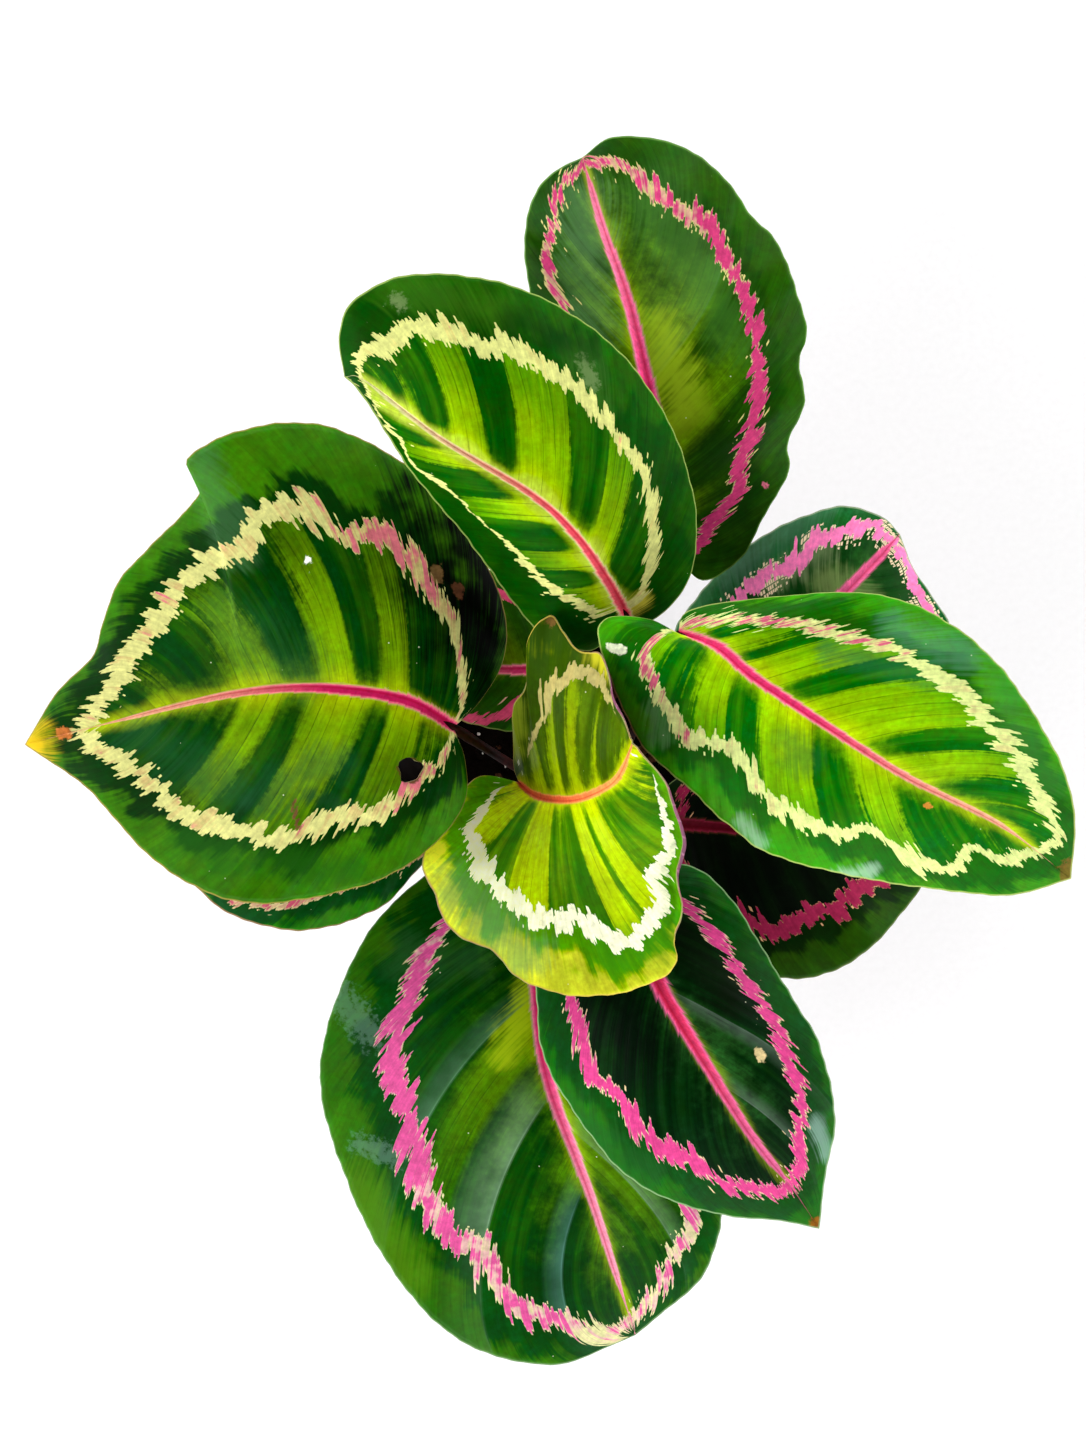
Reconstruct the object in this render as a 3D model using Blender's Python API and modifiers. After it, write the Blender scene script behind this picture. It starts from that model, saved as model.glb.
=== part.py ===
# A potted rose-painted calathea: eleven broad leaves on thin stalks, soil, and a plain nursery pot.
# The pot's base rests on the ground at the origin. Lengths are in millimetres until MM turns them
# into metres.
import math

import bmesh
import bpy
import numpy as np

MM = 0.001

# The pot
POT_HEIGHT = 118.0
POT_TOP_RADIUS = 66.0
POT_BASE_RADIUS = 47.0
POT_WALL = 1.4
POT_FLOOR = 2.0
POT_RIM_DEPTH = 13.0
POT_RIM_STEP = 2.2
POT_SIDES = 40
POT_CORNER = 2.0
POT_ROUND = 0.6
DRAIN_COUNT = 8
DRAIN_RADIUS = 4.5
DRAIN_CIRCLE = 34.0

# The soil
SOIL_TOP = 105.0
SOIL_BUMP = 1.3
SOIL_GAP = 0.3
SOIL_EDGE_DROP = 2.5
SOIL_SIDES = 32
SOIL_RINGS = 8
SLOW_CRUMBS = (0.11, 1.0, 0.13, -0.6)
QUICK_CRUMBS = (0.37, -0.2, 0.31, 0.9)
QUICK_SHARE = 0.6

# The leaves
BLADE_THICKNESS = 0.8
STALK_RADIUS = 1.9
STALK_FOOT = 96.0
STALK_STRAIGHT_TO = 109.0
STALK_POINTS = 9
STALK_UPRIGHT = 0.45
STALK_ARRIVAL = 0.35
STALK_LEAN = 0.45
STALK_END_DROP = 0.8
RIB_RADIUS = 1.5
RIB_TIP_RADIUS = 0.5
RIB_PLACES = (0.06, 0.14, 0.24, 0.35, 0.47, 0.6, 0.73, 0.86)
RIB_DEPTH = 0.75
HOLE_GAP = 0.4
HOLE_SIDES = 10
EATEN_REACH = 30.0
MARGIN_STEPS = 18
VEIN_PLACES = (0.0, 0.24, 0.48, 0.7, 0.87, 1.0)
ROLL_VEIN_PLACES = (0.0, 0.24, 0.46, 0.64, 0.78, 0.86, 0.93, 1.0)
VEIN_CROWDING = 1.6
VEIN_SWEEP = 0.1
LOOK_AHEAD = 0.02
LIFT_POWER = 1.4
END_POWER = 0.6
ROLL_POWER = 0.5
ROLL_RADIUS = 3.0
SHARP_ANGLE = math.radians(50)

# Each look is a colour and a roughness
POT_LOOK = ((0.012, 0.012, 0.013), 0.5)
SOIL_LOOK = ((0.02, 0.012, 0.008), 0.95)
LEAF_LOOK = ((0.03, 0.16, 0.03), 0.35)
YOUNG_LEAF_LOOK = ((0.25, 0.36, 0.02), 0.35)

# Each leaf grows from its root in the soil. Its midrib runs from the stalk to the tip, and left and
# right are the margins as seen from above, looking to the tip. A lift is how far the margin stands
# over the midrib at the quarters of its length, an arch how far each half bulges between them, and
# a wave is a height, a count and a start. Eaten holes are a place and a radius.
LEAVES = {
    "leaf_west": {
        "root": (-16, 4),
        "midrib": [(-44, 24, 262), (-60, 33, 266), (-88, 37, 266), (-118, 35, 260), (-159, 26, 247),
                   (-193, 18, 234)],
        "left": [(-40, 12), (-41, -3), (-55, -19), (-77, -30), (-113, -35), (-143, -23), (-168, 2), (-185, 13)],
        "right": [(-35, 33), (-27, 48), (-28, 67), (-41, 93), (-59, 112), (-87, 126), (-113, 125),
                  (-134, 115), (-130, 104), (-146, 87), (-158, 74), (-164, 59), (-168, 48), (-181, 36)],
        "lift": [(-9, -10, -4), (-16, -14, -6)],
        "arch": 4,
        "wave": (2.0, 3.5, 0.3),
        "eaten": [(-58, 10, 4)],
        "steps": 24,
    },
    "leaf_southwest": {
        "root": (-17, -7),
        "midrib": [(-45, -2, 208), (-64, -7, 217), (-89, -16, 219), (-114, -24, 213), (-139, -33, 203)],
        "left": [(-40, -13), (-57, -25), (-72, -40), (-98, -48), (-125, -43)],
        "right": [(-50, 9), (-68, 18), (-97, 12), (-123, -5)],
        "lift": [(-3, -5, -3), (-6, -8, -4)],
        "arch": 3,
        "wave": (1.5, 3.0, 0.0),
        "steps": 13,
    },
    "leaf_northwest": {
        "root": (2, 17),
        "midrib": [(14, 61, 264), (6, 74, 275), (-4, 87, 284), (-18, 99, 290), (-47, 117, 288),
                   (-72, 138, 272), (-80, 141, 262)],
        "left": [(6, 52), (-2, 50), (-16, 57), (-26, 69), (-40, 88), (-57, 108), (-69, 127), (-76, 137)],
        "right": [(23, 60), (34, 72), (37, 88), (35, 105), (27, 126), (8, 150), (-19, 166), (-55, 172),
                  (-75, 165), (-81, 154)],
        "lift": [(-16, -26, -18), (-6, -12, -8)],
        "arch": 4,
        "wave": (1.8, 4.0, 0.5),
    },
    "leaf_north": {
        "root": (9, 26),
        "midrib": [(31, 88, 232), (26, 119, 246), (21, 142, 249), (15, 169, 245), (7, 195, 236),
                   (0, 224, 222)],
        "left": [(20, 88), (3, 114), (-13, 149), (-19, 178), (-20, 196), (-16, 211), (-8, 219)],
        "right": [(41, 75), (55, 83), (63, 98), (71, 112), (71, 123), (76, 136), (74, 149), (77, 161),
                  (71, 179), (66, 192), (58, 201), (47, 215), (32, 227), (11, 230)],
        "lift": [(-8, -12, -8), (-6, -10, -8)],
        "arch": 3,
        "wave": (3.0, 5.5, 0.0),
        "steps": 24,
    },
    "leaf_northeast": {
        "root": (22, 13),
        "midrib": [(55, 37, 224), (74, 54, 238), (88, 69, 243), (102, 83, 237), (110, 91, 230)],
        "left": [(42, 42), (33, 55), (40, 69), (60, 89), (87, 100), (103, 97)],
        "right": [(61, 23), (91, 22), (120, 36), (126, 56), (120, 69), (114, 79)],
        "lift": [(-18, -18, -8), (-4, -6, -4)],
        "arch": 4,
        "wave": (1.5, 3.0, 0.0),
        "steps": 13,
    },
    "leaf_east": {
        "root": (13, 8),
        "midrib": [(30, 54, 284), (42, 50, 290), (54, 40, 292), (78, 24, 291), (104, 8, 284),
                   (137, -8, 270), (164, -27, 254)],
        "left": [(34, 62), (60, 66), (93, 67), (116, 59), (137, 41), (155, 16), (163, -6)],
        "right": [(20, 59), (6, 59), (5, 49), (17, 20), (34, 4), (47, -8), (62, -18), (93, -26), (119, -30),
                  (143, -32)],
        "lift": [(-4, -8, -6), (-6, -16, -12)],
        "arch": 4,
        "wave": (1.8, 3.5, 0.2),
    },
    "leaf_young": {
        "root": (-7, -1),
        "midrib": [(-22, 4, 214), (-15, 0, 232), (-4, 0, 262), (5, 4, 284), (10, 9, 300), (14, 19, 312)],
        "left": [(-24, 10), (-24, 20), (-24, 31), (-20, 37), (-19, 44), (-19, 52), (-16, 58), (-11, 61),
                 (-7, 55), (-2, 49), (5, 48), (8, 41), (9, 34), (12, 27)],
        "right": [(-35, 7), (-42, 2), (-48, -5), (-53, -14), (-54, -23), (-50, -31), (-47, -39), (-41, -46),
                  (-31, -50), (-24, -58), (-15, -63), (-2, -66), (13, -65), (26, -60), (31, -54), (30, -47),
                  (33, -36), (31, -25), (33, -13), (28, 1), (24, 9)],
        "lift": [(26, 22, 8), (40, 12, -14)],
        "arch": 3,
        "wave": (1.5, 4.0, 0.4),
        "roll": (0.7, 2.6),
        "steps": 30,
    },
    "leaf_south": {
        "root": (-6, -13),
        "midrib": [(-17, -30, 208), (-16, -66, 222), (-12, -99, 222), (3, -142, 212), (15, -182, 196),
                   (20, -199, 186)],
        "left": [(0, -34), (22, -59), (39, -88), (48, -120), (50, -150), (44, -173), (30, -188)],
        "right": [(-38, -22), (-56, -29), (-79, -54), (-93, -98), (-83, -140), (-62, -178), (-40, -199),
                  (-11, -207), (10, -202)],
        "lift": [(-6, -10, -6), (-4, -12, -8)],
        "arch": 4,
        "wave": (1.8, 3.5, 0.0),
    },
    "leaf_southeast": {
        "root": (6, -11),
        "midrib": [(14, -37, 238), (26, -64, 250), (42, -91, 250), (57, -115, 243), (72, -135, 233),
                   (83, -152, 222)],
        "left": [(23, -25), (37, -24), (50, -34), (64, -56), (73, -71), (81, -85), (87, -111), (84, -133)],
        "right": [(-5, -35), (-15, -52), (-16, -70), (-12, -93), (8, -123), (26, -137), (48, -145), (69, -148)],
        "lift": [(-8, -14, -8), (-4, -10, -8)],
        "arch": 4,
        "wave": (1.5, 3.0, 0.3),
    },
    "leaf_low_east": {
        "root": (17, -4),
        "midrib": [(27, -10, 202), (54, -12, 213), (85, -15, 211), (107, -19, 203), (128, -25, 195)],
        "left": [(30, 2), (56, 16), (92, 16), (117, -2)],
        "right": [(28, -22), (37, -46), (56, -62), (81, -66), (101, -57), (120, -38)],
        "lift": [(-4, -8, -5), (-5, -8, -5)],
        "arch": 3,
        "wave": (1.5, 3.0, 0.0),
        "steps": 13,
    },
    "leaf_low_west": {
        "root": (-7, 14),
        "midrib": [(-3, 45, 220), (-19, 44, 228), (-31, 44, 230), (-46, 45, 226), (-68, 47, 216)],
        "left": [(-8, 30), (-22, 23), (-38, 25), (-55, 33)],
        "right": [(-1, 62), (-15, 74), (-33, 79), (-54, 70)],
        "lift": [(-4, -4, -2), (-4, -8, -4)],
        "arch": 2,
        "wave": (1.0, 3.0, 0.0),
        "steps": 13,
    },
}


def clear_scene():
    for old in list(bpy.data.objects):
        bpy.data.objects.remove(old, do_unlink=True)


def new_collection(name, hidden=False):
    made = bpy.data.collections.new(name)
    bpy.context.scene.collection.children.link(made)
    made.hide_render = hidden
    return made


def material(name, colour, roughness):
    made = bpy.data.materials.new(name)
    made.use_nodes = True
    shader = made.node_tree.nodes["Principled BSDF"]
    shader.inputs["Base Color"].default_value = (*colour, 1.0)
    shader.inputs["Roughness"].default_value = roughness
    shader.inputs["Metallic"].default_value = 0.0
    return made


def add_object(name, mesh, collection):
    made = bpy.data.objects.new(name, mesh)
    collection.objects.link(made)
    return made


def as_tool(obj):
    obj.hide_render = True
    obj.display_type = "WIRE"
    return obj


def applied(obj):
    # The object keeps its modifiers' result as its mesh
    graph = bpy.context.evaluated_depsgraph_get()
    mesh = bpy.data.meshes.new_from_object(obj.evaluated_get(graph))
    obj.modifiers.clear()
    obj.data = mesh


def boolean(body, operation, tool=None, tools=None):
    # With one tool, or with each object of a collection
    modifier = body.modifiers.new(operation.lower(), "BOOLEAN")
    modifier.operation = operation
    modifier.solver = "EXACT"
    if tools:
        modifier.operand_type = "COLLECTION"
        modifier.collection = tools
    else:
        modifier.object = tool


def turned(name, profile, sides, collection):
    # A solid turned about the upright axis from a profile of (radius, height) that ends on the axis
    mesh = bpy.data.meshes.new(name)
    points = [(radius * MM, 0.0, height * MM) for radius, height in profile]
    mesh.from_pydata(points, [(i, i + 1) for i in range(len(points) - 1)], [])
    made = add_object(name, mesh, collection)
    screw = made.modifiers.new("turn", "SCREW")
    screw.steps = screw.render_steps = sides
    screw.use_merge_vertices = True
    screw.merge_threshold = 0.00005
    applied(made)
    return made


def hole(name, place, low, high, radius, collection):
    # An upright cylinder that cuts a hole
    shape = bmesh.new()
    bmesh.ops.create_cone(shape, cap_ends=True, segments=HOLE_SIDES, radius1=radius * MM,
                          radius2=radius * MM, depth=(high - low) * MM)
    mesh = bpy.data.meshes.new(name)
    shape.to_mesh(mesh)
    shape.free()
    made = as_tool(add_object(name, mesh, collection))
    made.location = (place[0] * MM, place[1] * MM, (low + high) / 2 * MM)


def rod(name, points, radii, collection):
    # A round rod through the points, with its own radius at each, as a mesh
    curve = bpy.data.curves.new(name, "CURVE")
    curve.dimensions = "3D"
    curve.bevel_depth = MM
    curve.bevel_resolution = 1
    curve.use_fill_caps = True
    spline = curve.splines.new("POLY")
    spline.points.add(len(points) - 1)
    for place, point, radius in zip(spline.points, points, radii):
        place.co = (*(point * MM), 1.0)
        place.radius = radius
    guide = add_object(name, curve, collection)
    graph = bpy.context.evaluated_depsgraph_get()
    mesh = bpy.data.meshes.new_from_object(guide.evaluated_get(graph))
    bpy.data.objects.remove(guide, do_unlink=True)
    shape = bmesh.new()
    shape.from_mesh(mesh)
    bmesh.ops.remove_doubles(shape, verts=shape.verts, dist=0.00002)
    shape.to_mesh(mesh)
    shape.free()
    return add_object(name, mesh, collection)


def smooth(points, places):
    # A smooth curve through the points, at places from 0 to 1 that are spread evenly over its spans
    points = np.asarray(points, float)
    first = 2 * points[0] - points[1]
    last = 2 * points[-1] - points[-2]
    knots = np.vstack([first, points, last])
    spans = len(points) - 1
    along = np.clip(np.asarray(places, float), 0, 1) * spans
    index = np.minimum(along.astype(int), spans - 1)
    t = (along - index)[:, None]
    a, b, c, d = (knots[index + k] for k in range(4))
    return 0.5 * (2 * b + (c - a) * t + (2 * a - 5 * b + 4 * c - d) * t**2 + (3 * b - a - 3 * c + d) * t**3)


def by_length(points, places):
    # The same curve at places that are shares of its length
    dense = smooth(points, np.linspace(0, 1, 16 * len(points)))
    steps = np.linalg.norm(np.diff(dense, axis=0), axis=1)
    length = np.append(0, np.cumsum(steps))
    return np.column_stack([np.interp(np.asarray(places) * length[-1], length, row) for row in dense.T])


def half_blade(leaf, side, margin_places, vein_places):
    # One half of a blade, as rows of points along its side veins, from the midrib to the margin
    midrib = leaf["midrib"]
    ribs = by_length(midrib, margin_places**VEIN_CROWDING)
    ahead = by_length(midrib, np.minimum(margin_places**VEIN_CROWDING + LOOK_AHEAD, 1.0)) - ribs
    margin = by_length([midrib[0][:2]] + leaf[side] + [midrib[-1][:2]], margin_places)
    number = ("left", "right").index(side)
    lift = smooth([(0,), *((height,) for height in leaf["lift"][number]), (0,)], margin_places)[:, 0]
    height, count, start = leaf["wave"]
    roll_from, roll_turn = leaf.get("roll", (1.0, 0.0))
    rows = []
    for place, rib, tangent, edge, rise in zip(margin_places, ribs, ahead, margin, lift):
        across = edge - rib[:2]
        length = np.linalg.norm(across)
        outward = across / length
        forward = tangent[:2] / max(np.linalg.norm(tangent[:2]), 1e-6)
        swell = math.sin(math.pi * place) ** END_POWER
        rolled = max(place - roll_from, 0) / (1 - roll_from + 1e-9)
        turn = roll_turn * math.sin(math.pi * rolled) ** ROLL_POWER
        flat = length - ROLL_RADIUS * math.sin(min(turn, math.pi / 2))
        total = flat + ROLL_RADIUS * turn
        row = []
        for v in vein_places[1:]:
            run = min(v * total, flat)
            bent = (v * total - run) / ROLL_RADIUS
            reach = run + ROLL_RADIUS * math.sin(bent)
            share = run / length
            sweep = -VEIN_SWEEP * place * length * 4 * share * (1 - share)
            plan = rib[:2] + outward * reach + forward * sweep
            bulge = leaf["arch"] * 4 * share * (1 - share) * swell
            ripple = height * share**2 * swell * math.sin(2 * math.pi * (count * place + start))
            up = rib[2] + rise * share**LIFT_POWER + bulge + ripple + ROLL_RADIUS * (1 - math.cos(bent))
            row.append((plan[0], plan[1], up))
        rows.append(row)
    return rows


def blade(name, leaf, collection):
    # Both halves as one sheet on a shared midrib, in triangles, then given its thickness
    steps = leaf.get("steps", MARGIN_STEPS)
    places = np.linspace(0, 1, steps + 1)[1:-1]
    vein_places = ROLL_VEIN_PLACES if "roll" in leaf else VEIN_PLACES
    ribs = by_length(leaf["midrib"], np.concatenate([[0], places**VEIN_CROWDING, [1]]))
    points = [tuple(rib) for rib in ribs]
    faces = []
    for side in ("left", "right"):
        rows = half_blade(leaf, side, places, vein_places)
        start = len(points)
        width = len(rows[0])
        for row in rows:
            points.extend(row)

        def at(i, j):
            # Row i of the margin steps, place j out from the midrib
            if j == 0 or i == 0 or i == steps:
                return i
            return start + (i - 1) * width + j - 1

        for i in range(steps):
            for j in range(width):
                ring = [at(i, j), at(i + 1, j), at(i + 1, j + 1), at(i, j + 1)]
                if side == "left":
                    ring.reverse()
                first, second = ring[:3], [ring[0], ring[2], ring[3]]
                faces.extend(face for face in (first, second) if len(set(face)) == 3)
    mesh = bpy.data.meshes.new(name)
    mesh.from_pydata([tuple(MM * value for value in point) for point in points], [], faces)
    made = add_object(name, mesh, collection)
    solidify = made.modifiers.new("thickness", "SOLIDIFY")
    solidify.thickness = BLADE_THICKNESS * MM
    solidify.offset = 0.0
    applied(made)
    return made


def stalk_route(leaf):
    # From its foot in the soil, straight up, then over to the blade's base
    root = np.array([*leaf["root"], STALK_STRAIGHT_TO], float)
    base = np.array(leaf["midrib"][0], float)
    rise = base[2] - root[2]
    lean = (base - root) * (1, 1, 0)
    lean /= np.linalg.norm(lean)
    above_root = root + (0, 0, STALK_UPRIGHT * rise)
    below_base = base - STALK_ARRIVAL * rise * (STALK_LEAN * lean + (0, 0, 1))
    t = np.linspace(0, 1, STALK_POINTS)[:, None]
    bend = (1 - t) ** 3 * root + 3 * (1 - t) ** 2 * t * above_root + 3 * (1 - t) * t**2 * below_base + t**3 * base
    foot = np.array([[*leaf["root"], STALK_FOOT]], float)
    return np.vstack([foot, bend])


def stalk_and_rib(name, leaf, collection):
    # The stalk, and the midrib that goes on from it under the blade, square to the blade's own slope
    stalk = stalk_route(leaf)
    shares = np.array(RIB_PLACES)
    rib_radii = RIB_RADIUS + (RIB_TIP_RADIUS - RIB_RADIUS) * shares
    rib = by_length(leaf["midrib"], shares)
    ahead = by_length(leaf["midrib"], shares + LOOK_AHEAD) - rib
    ahead /= np.linalg.norm(ahead, axis=1)[:, None]
    under = ahead * ahead[:, 2:] - (0, 0, 1)
    under /= np.linalg.norm(under, axis=1)[:, None]
    rib += RIB_DEPTH * rib_radii[:, None] * under
    stalk[-1, 2] -= STALK_END_DROP
    radii = np.append(np.linspace(STALK_RADIUS, RIB_RADIUS, len(stalk)), rib_radii)
    return rod(name, np.vstack([stalk, rib]), radii, collection)


def make_leaf(name, leaf, look, collection, tools):
    made = blade(name, leaf, collection)
    boolean(made, "UNION", tool=as_tool(stalk_and_rib(name + "_stalk", leaf, tools)))
    if "eaten" in leaf:
        eaten = new_collection(name + "_eaten", hidden=True)
        base = leaf["midrib"][0][2]
        for number, (x, y, radius) in enumerate(leaf["eaten"]):
            hole(f"{name}_eaten_{number}", (x, y), base - EATEN_REACH, base + EATEN_REACH, radius, eaten)
        boolean(made, "DIFFERENCE", tools=eaten)
    finish(made, look)
    return made


def finish(obj, look):
    obj.data.materials.clear()
    obj.data.materials.append(look)
    obj.data.shade_smooth()
    obj.data.set_sharp_from_angle(angle=SHARP_ANGLE)


def pot_inside(height):
    # The radius inside the wall
    return POT_BASE_RADIUS + (POT_TOP_RADIUS - POT_BASE_RADIUS) * height / POT_HEIGHT - POT_WALL


def make_pot(look, collection):
    rim_low = POT_HEIGHT - POT_RIM_DEPTH
    rim_out = POT_TOP_RADIUS + POT_RIM_STEP
    profile = [
        (0.0, POT_FLOOR),
        (pot_inside(POT_FLOOR) - POT_CORNER, POT_FLOOR),
        (pot_inside(POT_FLOOR + POT_CORNER), POT_FLOOR + POT_CORNER),
        (pot_inside(rim_low), rim_low),
        (pot_inside(rim_low) + POT_RIM_STEP, rim_low + POT_RIM_STEP),
        (rim_out - POT_WALL, POT_HEIGHT - POT_ROUND),
        (rim_out - POT_WALL / 2, POT_HEIGHT),
        (rim_out, POT_HEIGHT - POT_ROUND),
        (rim_out - POT_ROUND, rim_low + POT_ROUND),
        (rim_out - 2 * POT_ROUND, rim_low),
        (pot_inside(rim_low) + POT_WALL, rim_low - POT_ROUND),
        (POT_BASE_RADIUS, POT_CORNER),
        (POT_BASE_RADIUS - POT_CORNER, 0.0),
        (0.0, 0.0),
    ]
    made = turned("pot", profile, POT_SIDES, collection)
    drains = new_collection("drain_holes", hidden=True)
    for number in range(DRAIN_COUNT):
        angle = 2 * math.pi * (number + 0.5) / DRAIN_COUNT
        place = (DRAIN_CIRCLE * math.cos(angle), DRAIN_CIRCLE * math.sin(angle))
        hole(f"drain_{number}", place, -POT_FLOOR, 2 * POT_FLOOR, DRAIN_RADIUS, drains)
    boolean(made, "DIFFERENCE", tools=drains)
    finish(made, look)
    return made


def soil_height(x, y):
    # Low, uneven crumbs over the top of the soil
    across, start, deep, turn = SLOW_CRUMBS
    slow = math.sin(across * x + start) * math.cos(deep * y + turn)
    across, skew, deep, turn = QUICK_CRUMBS
    quick = math.sin(across * x + skew * y) * math.cos(deep * y + turn)
    return SOIL_TOP + SOIL_BUMP * (slow + QUICK_SHARE * quick)


def make_soil(look, collection):
    edge_height = SOIL_TOP - SOIL_EDGE_DROP
    edge = pot_inside(edge_height) - SOIL_GAP
    low = POT_FLOOR + SOIL_GAP
    rings = [(edge * ring / SOIL_RINGS, SOIL_TOP) for ring in range(SOIL_RINGS)]
    profile = [
        *rings,
        (edge, edge_height),
        (pot_inside(low + POT_CORNER) - SOIL_GAP, low + POT_CORNER),
        (pot_inside(low) - POT_CORNER - SOIL_GAP, low),
        (0.0, low),
    ]
    made = turned("soil", profile, SOIL_SIDES, collection)
    for vertex in made.data.vertices:
        x, y, z = (value / MM for value in vertex.co)
        if z > SOIL_TOP - 1.0:
            vertex.co.z = soil_height(x, y) * MM
    holes = new_collection("stalk_holes", hidden=True)
    for name, leaf in LEAVES.items():
        low, high = STALK_FOOT - SOIL_GAP, SOIL_TOP + 3 * SOIL_BUMP
        hole("hole_" + name, leaf["root"], low, high, STALK_RADIUS + HOLE_GAP, holes)
    boolean(made, "DIFFERENCE", tools=holes)
    finish(made, look)
    return made


def main():
    clear_scene()
    plant = new_collection("potted_calathea")
    stalks = new_collection("stalks", hidden=True)
    stand = bpy.data.objects.new("plant", None)
    plant.objects.link(stand)
    leaf_look = material("leaf_green", *LEAF_LOOK)
    young_look = material("young_leaf_green", *YOUNG_LEAF_LOOK)
    pieces = [
        make_pot(material("pot_plastic", *POT_LOOK), plant),
        make_soil(material("potting_soil", *SOIL_LOOK), plant),
    ]
    for name, leaf in LEAVES.items():
        look = young_look if name == "leaf_young" else leaf_look
        pieces.append(make_leaf(name, leaf, look, plant, stalks))
    for piece in pieces:
        piece.parent = stand


main()
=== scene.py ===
import math
from functools import partial

import bmesh
import bpy
import numpy as np
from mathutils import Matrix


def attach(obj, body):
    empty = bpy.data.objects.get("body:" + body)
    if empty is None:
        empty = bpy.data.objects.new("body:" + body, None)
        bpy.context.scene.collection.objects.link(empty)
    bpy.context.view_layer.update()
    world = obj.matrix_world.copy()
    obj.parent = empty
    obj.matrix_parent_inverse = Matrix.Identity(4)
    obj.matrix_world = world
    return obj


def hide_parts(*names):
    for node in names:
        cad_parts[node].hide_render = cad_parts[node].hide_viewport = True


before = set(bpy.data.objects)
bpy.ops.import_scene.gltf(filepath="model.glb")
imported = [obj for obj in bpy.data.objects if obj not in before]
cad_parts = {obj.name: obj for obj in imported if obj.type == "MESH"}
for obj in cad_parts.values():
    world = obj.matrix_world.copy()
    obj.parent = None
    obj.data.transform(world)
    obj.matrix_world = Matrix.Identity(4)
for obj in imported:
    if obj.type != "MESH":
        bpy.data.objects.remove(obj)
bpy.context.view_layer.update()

# A potted rose-painted calathea seen from straight above. Every length here is in millimetres and is
# turned into metres where a mesh or a pattern is made. +X is the photograph's right and +Y its top.
mm = 0.001
print("frame loaded")


def addObject(name, data):
    made = bpy.data.objects.new(name, data)
    bpy.context.scene.collection.objects.link(made)
    return made


def newMesh(name, points, faces):
    mesh = bpy.data.meshes.new(name)
    mesh.from_pydata((np.asarray(points) * mm).tolist(), [], faces)
    return mesh


# The camera looks straight down, as the photograph does

camera = {
    "place": (-13.9, 25.1, 1020.0),
    "lens": 56.486,
    "sensor": 36.0,
    "nearest": 10.0,
}


def makeCamera():
    made = addObject("camera", bpy.data.cameras.new("camera"))
    made.location = [value * mm for value in camera["place"]]
    made.data.lens = camera["lens"]
    made.data.sensor_width = camera["sensor"]
    made.data.clip_start = camera["nearest"] * mm
    bpy.context.scene.camera = made


makeCamera()
print("camera placed")


# Nodes and colours

modes = {  # the setting that a second word after a node's kind gives
    "Math": "operation",
    "MapRange": "interpolation_type",
    "Mix": "blend_type",
    "TexNoise": "noise_dimensions",
    "TexWhiteNoise": "noise_dimensions",
}


def toLinear(hexCode):
    # One sRGB hex value as the linear colour that a shader takes
    parts = [int(hexCode[i:i + 2], 16) / 255 for i in (1, 3, 5)]
    return (*[part / 12.92 if part <= 0.04045 else ((part + 0.055) / 1.055) ** 2.4 for part in parts], 1.0)


def wire(node, inputs):
    # Fills a node's sockets, given by number or by name, each with a value, a hex, a socket or a node
    sockets = [socket for socket in node.inputs if socket.enabled]
    for key, value in inputs.items():
        socket = sockets[key] if isinstance(key, int) else next(s for s in sockets if s.name == key)
        if isinstance(value, bpy.types.Node):
            value = next(output for output in value.outputs if output.enabled)
        if isinstance(value, bpy.types.NodeSocket):
            node.id_data.links.new(value, socket)
        else:
            socket.default_value = toLinear(value) if isinstance(value, str) else value


def addNode(tree, kind, *inputs, **named):
    # Adds a node with its settings and links. A word in capitals alone is a Math node's operation. Inputs
    # follow the order of the sockets or are named by them; a name in small letters is a setting
    kind, mode = ("Math", kind) if kind.isupper() else (*kind.split(), None)[:2]
    node = tree.nodes.new("ShaderNode" + kind)
    if kind == "Mix":
        node.data_type = "RGBA"
    if mode:
        setattr(node, modes[kind], mode)
    for name in filter(str.islower, list(named)):
        setattr(node, name, named.pop(name))
    wire(node, {**dict(enumerate(inputs)), **named})
    return node


def newSurface(name, roughness, ior, specular=0.5):
    # A named material: its shader, addNode for its own tree, and the place on the piece that patterns use
    made = bpy.data.materials.new(name)
    made.use_nodes = True
    shader = made.node_tree.nodes["Principled BSDF"]
    wire(shader, {"Roughness": roughness, "IOR": ior, "Specular IOR Level": specular})
    add = partial(addNode, made.node_tree)
    return made, shader, add, add("TexCoord").outputs["Object"]


def mottled(add, place, size, detail, low, high, dark, pale, roughness=0.5):
    # Noise with grains of one size, and the colour between dark and pale that it gives
    grains = add("TexNoise", Vector=place, Scale=1 / (size * mm), Detail=detail, Roughness=roughness)
    return grains, add("Mix", add("MapRange", grains, low, high, 0, 1), dark, pale)


def addPiece(name, mesh, surfaces, node):
    # A finished piece that rides with the plant and stands for the CAD node it is made from
    for surface in surfaces:
        mesh.materials.append(surface)
    made = addObject(name, mesh)
    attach(made, "root")
    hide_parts(node)
    return made


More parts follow.
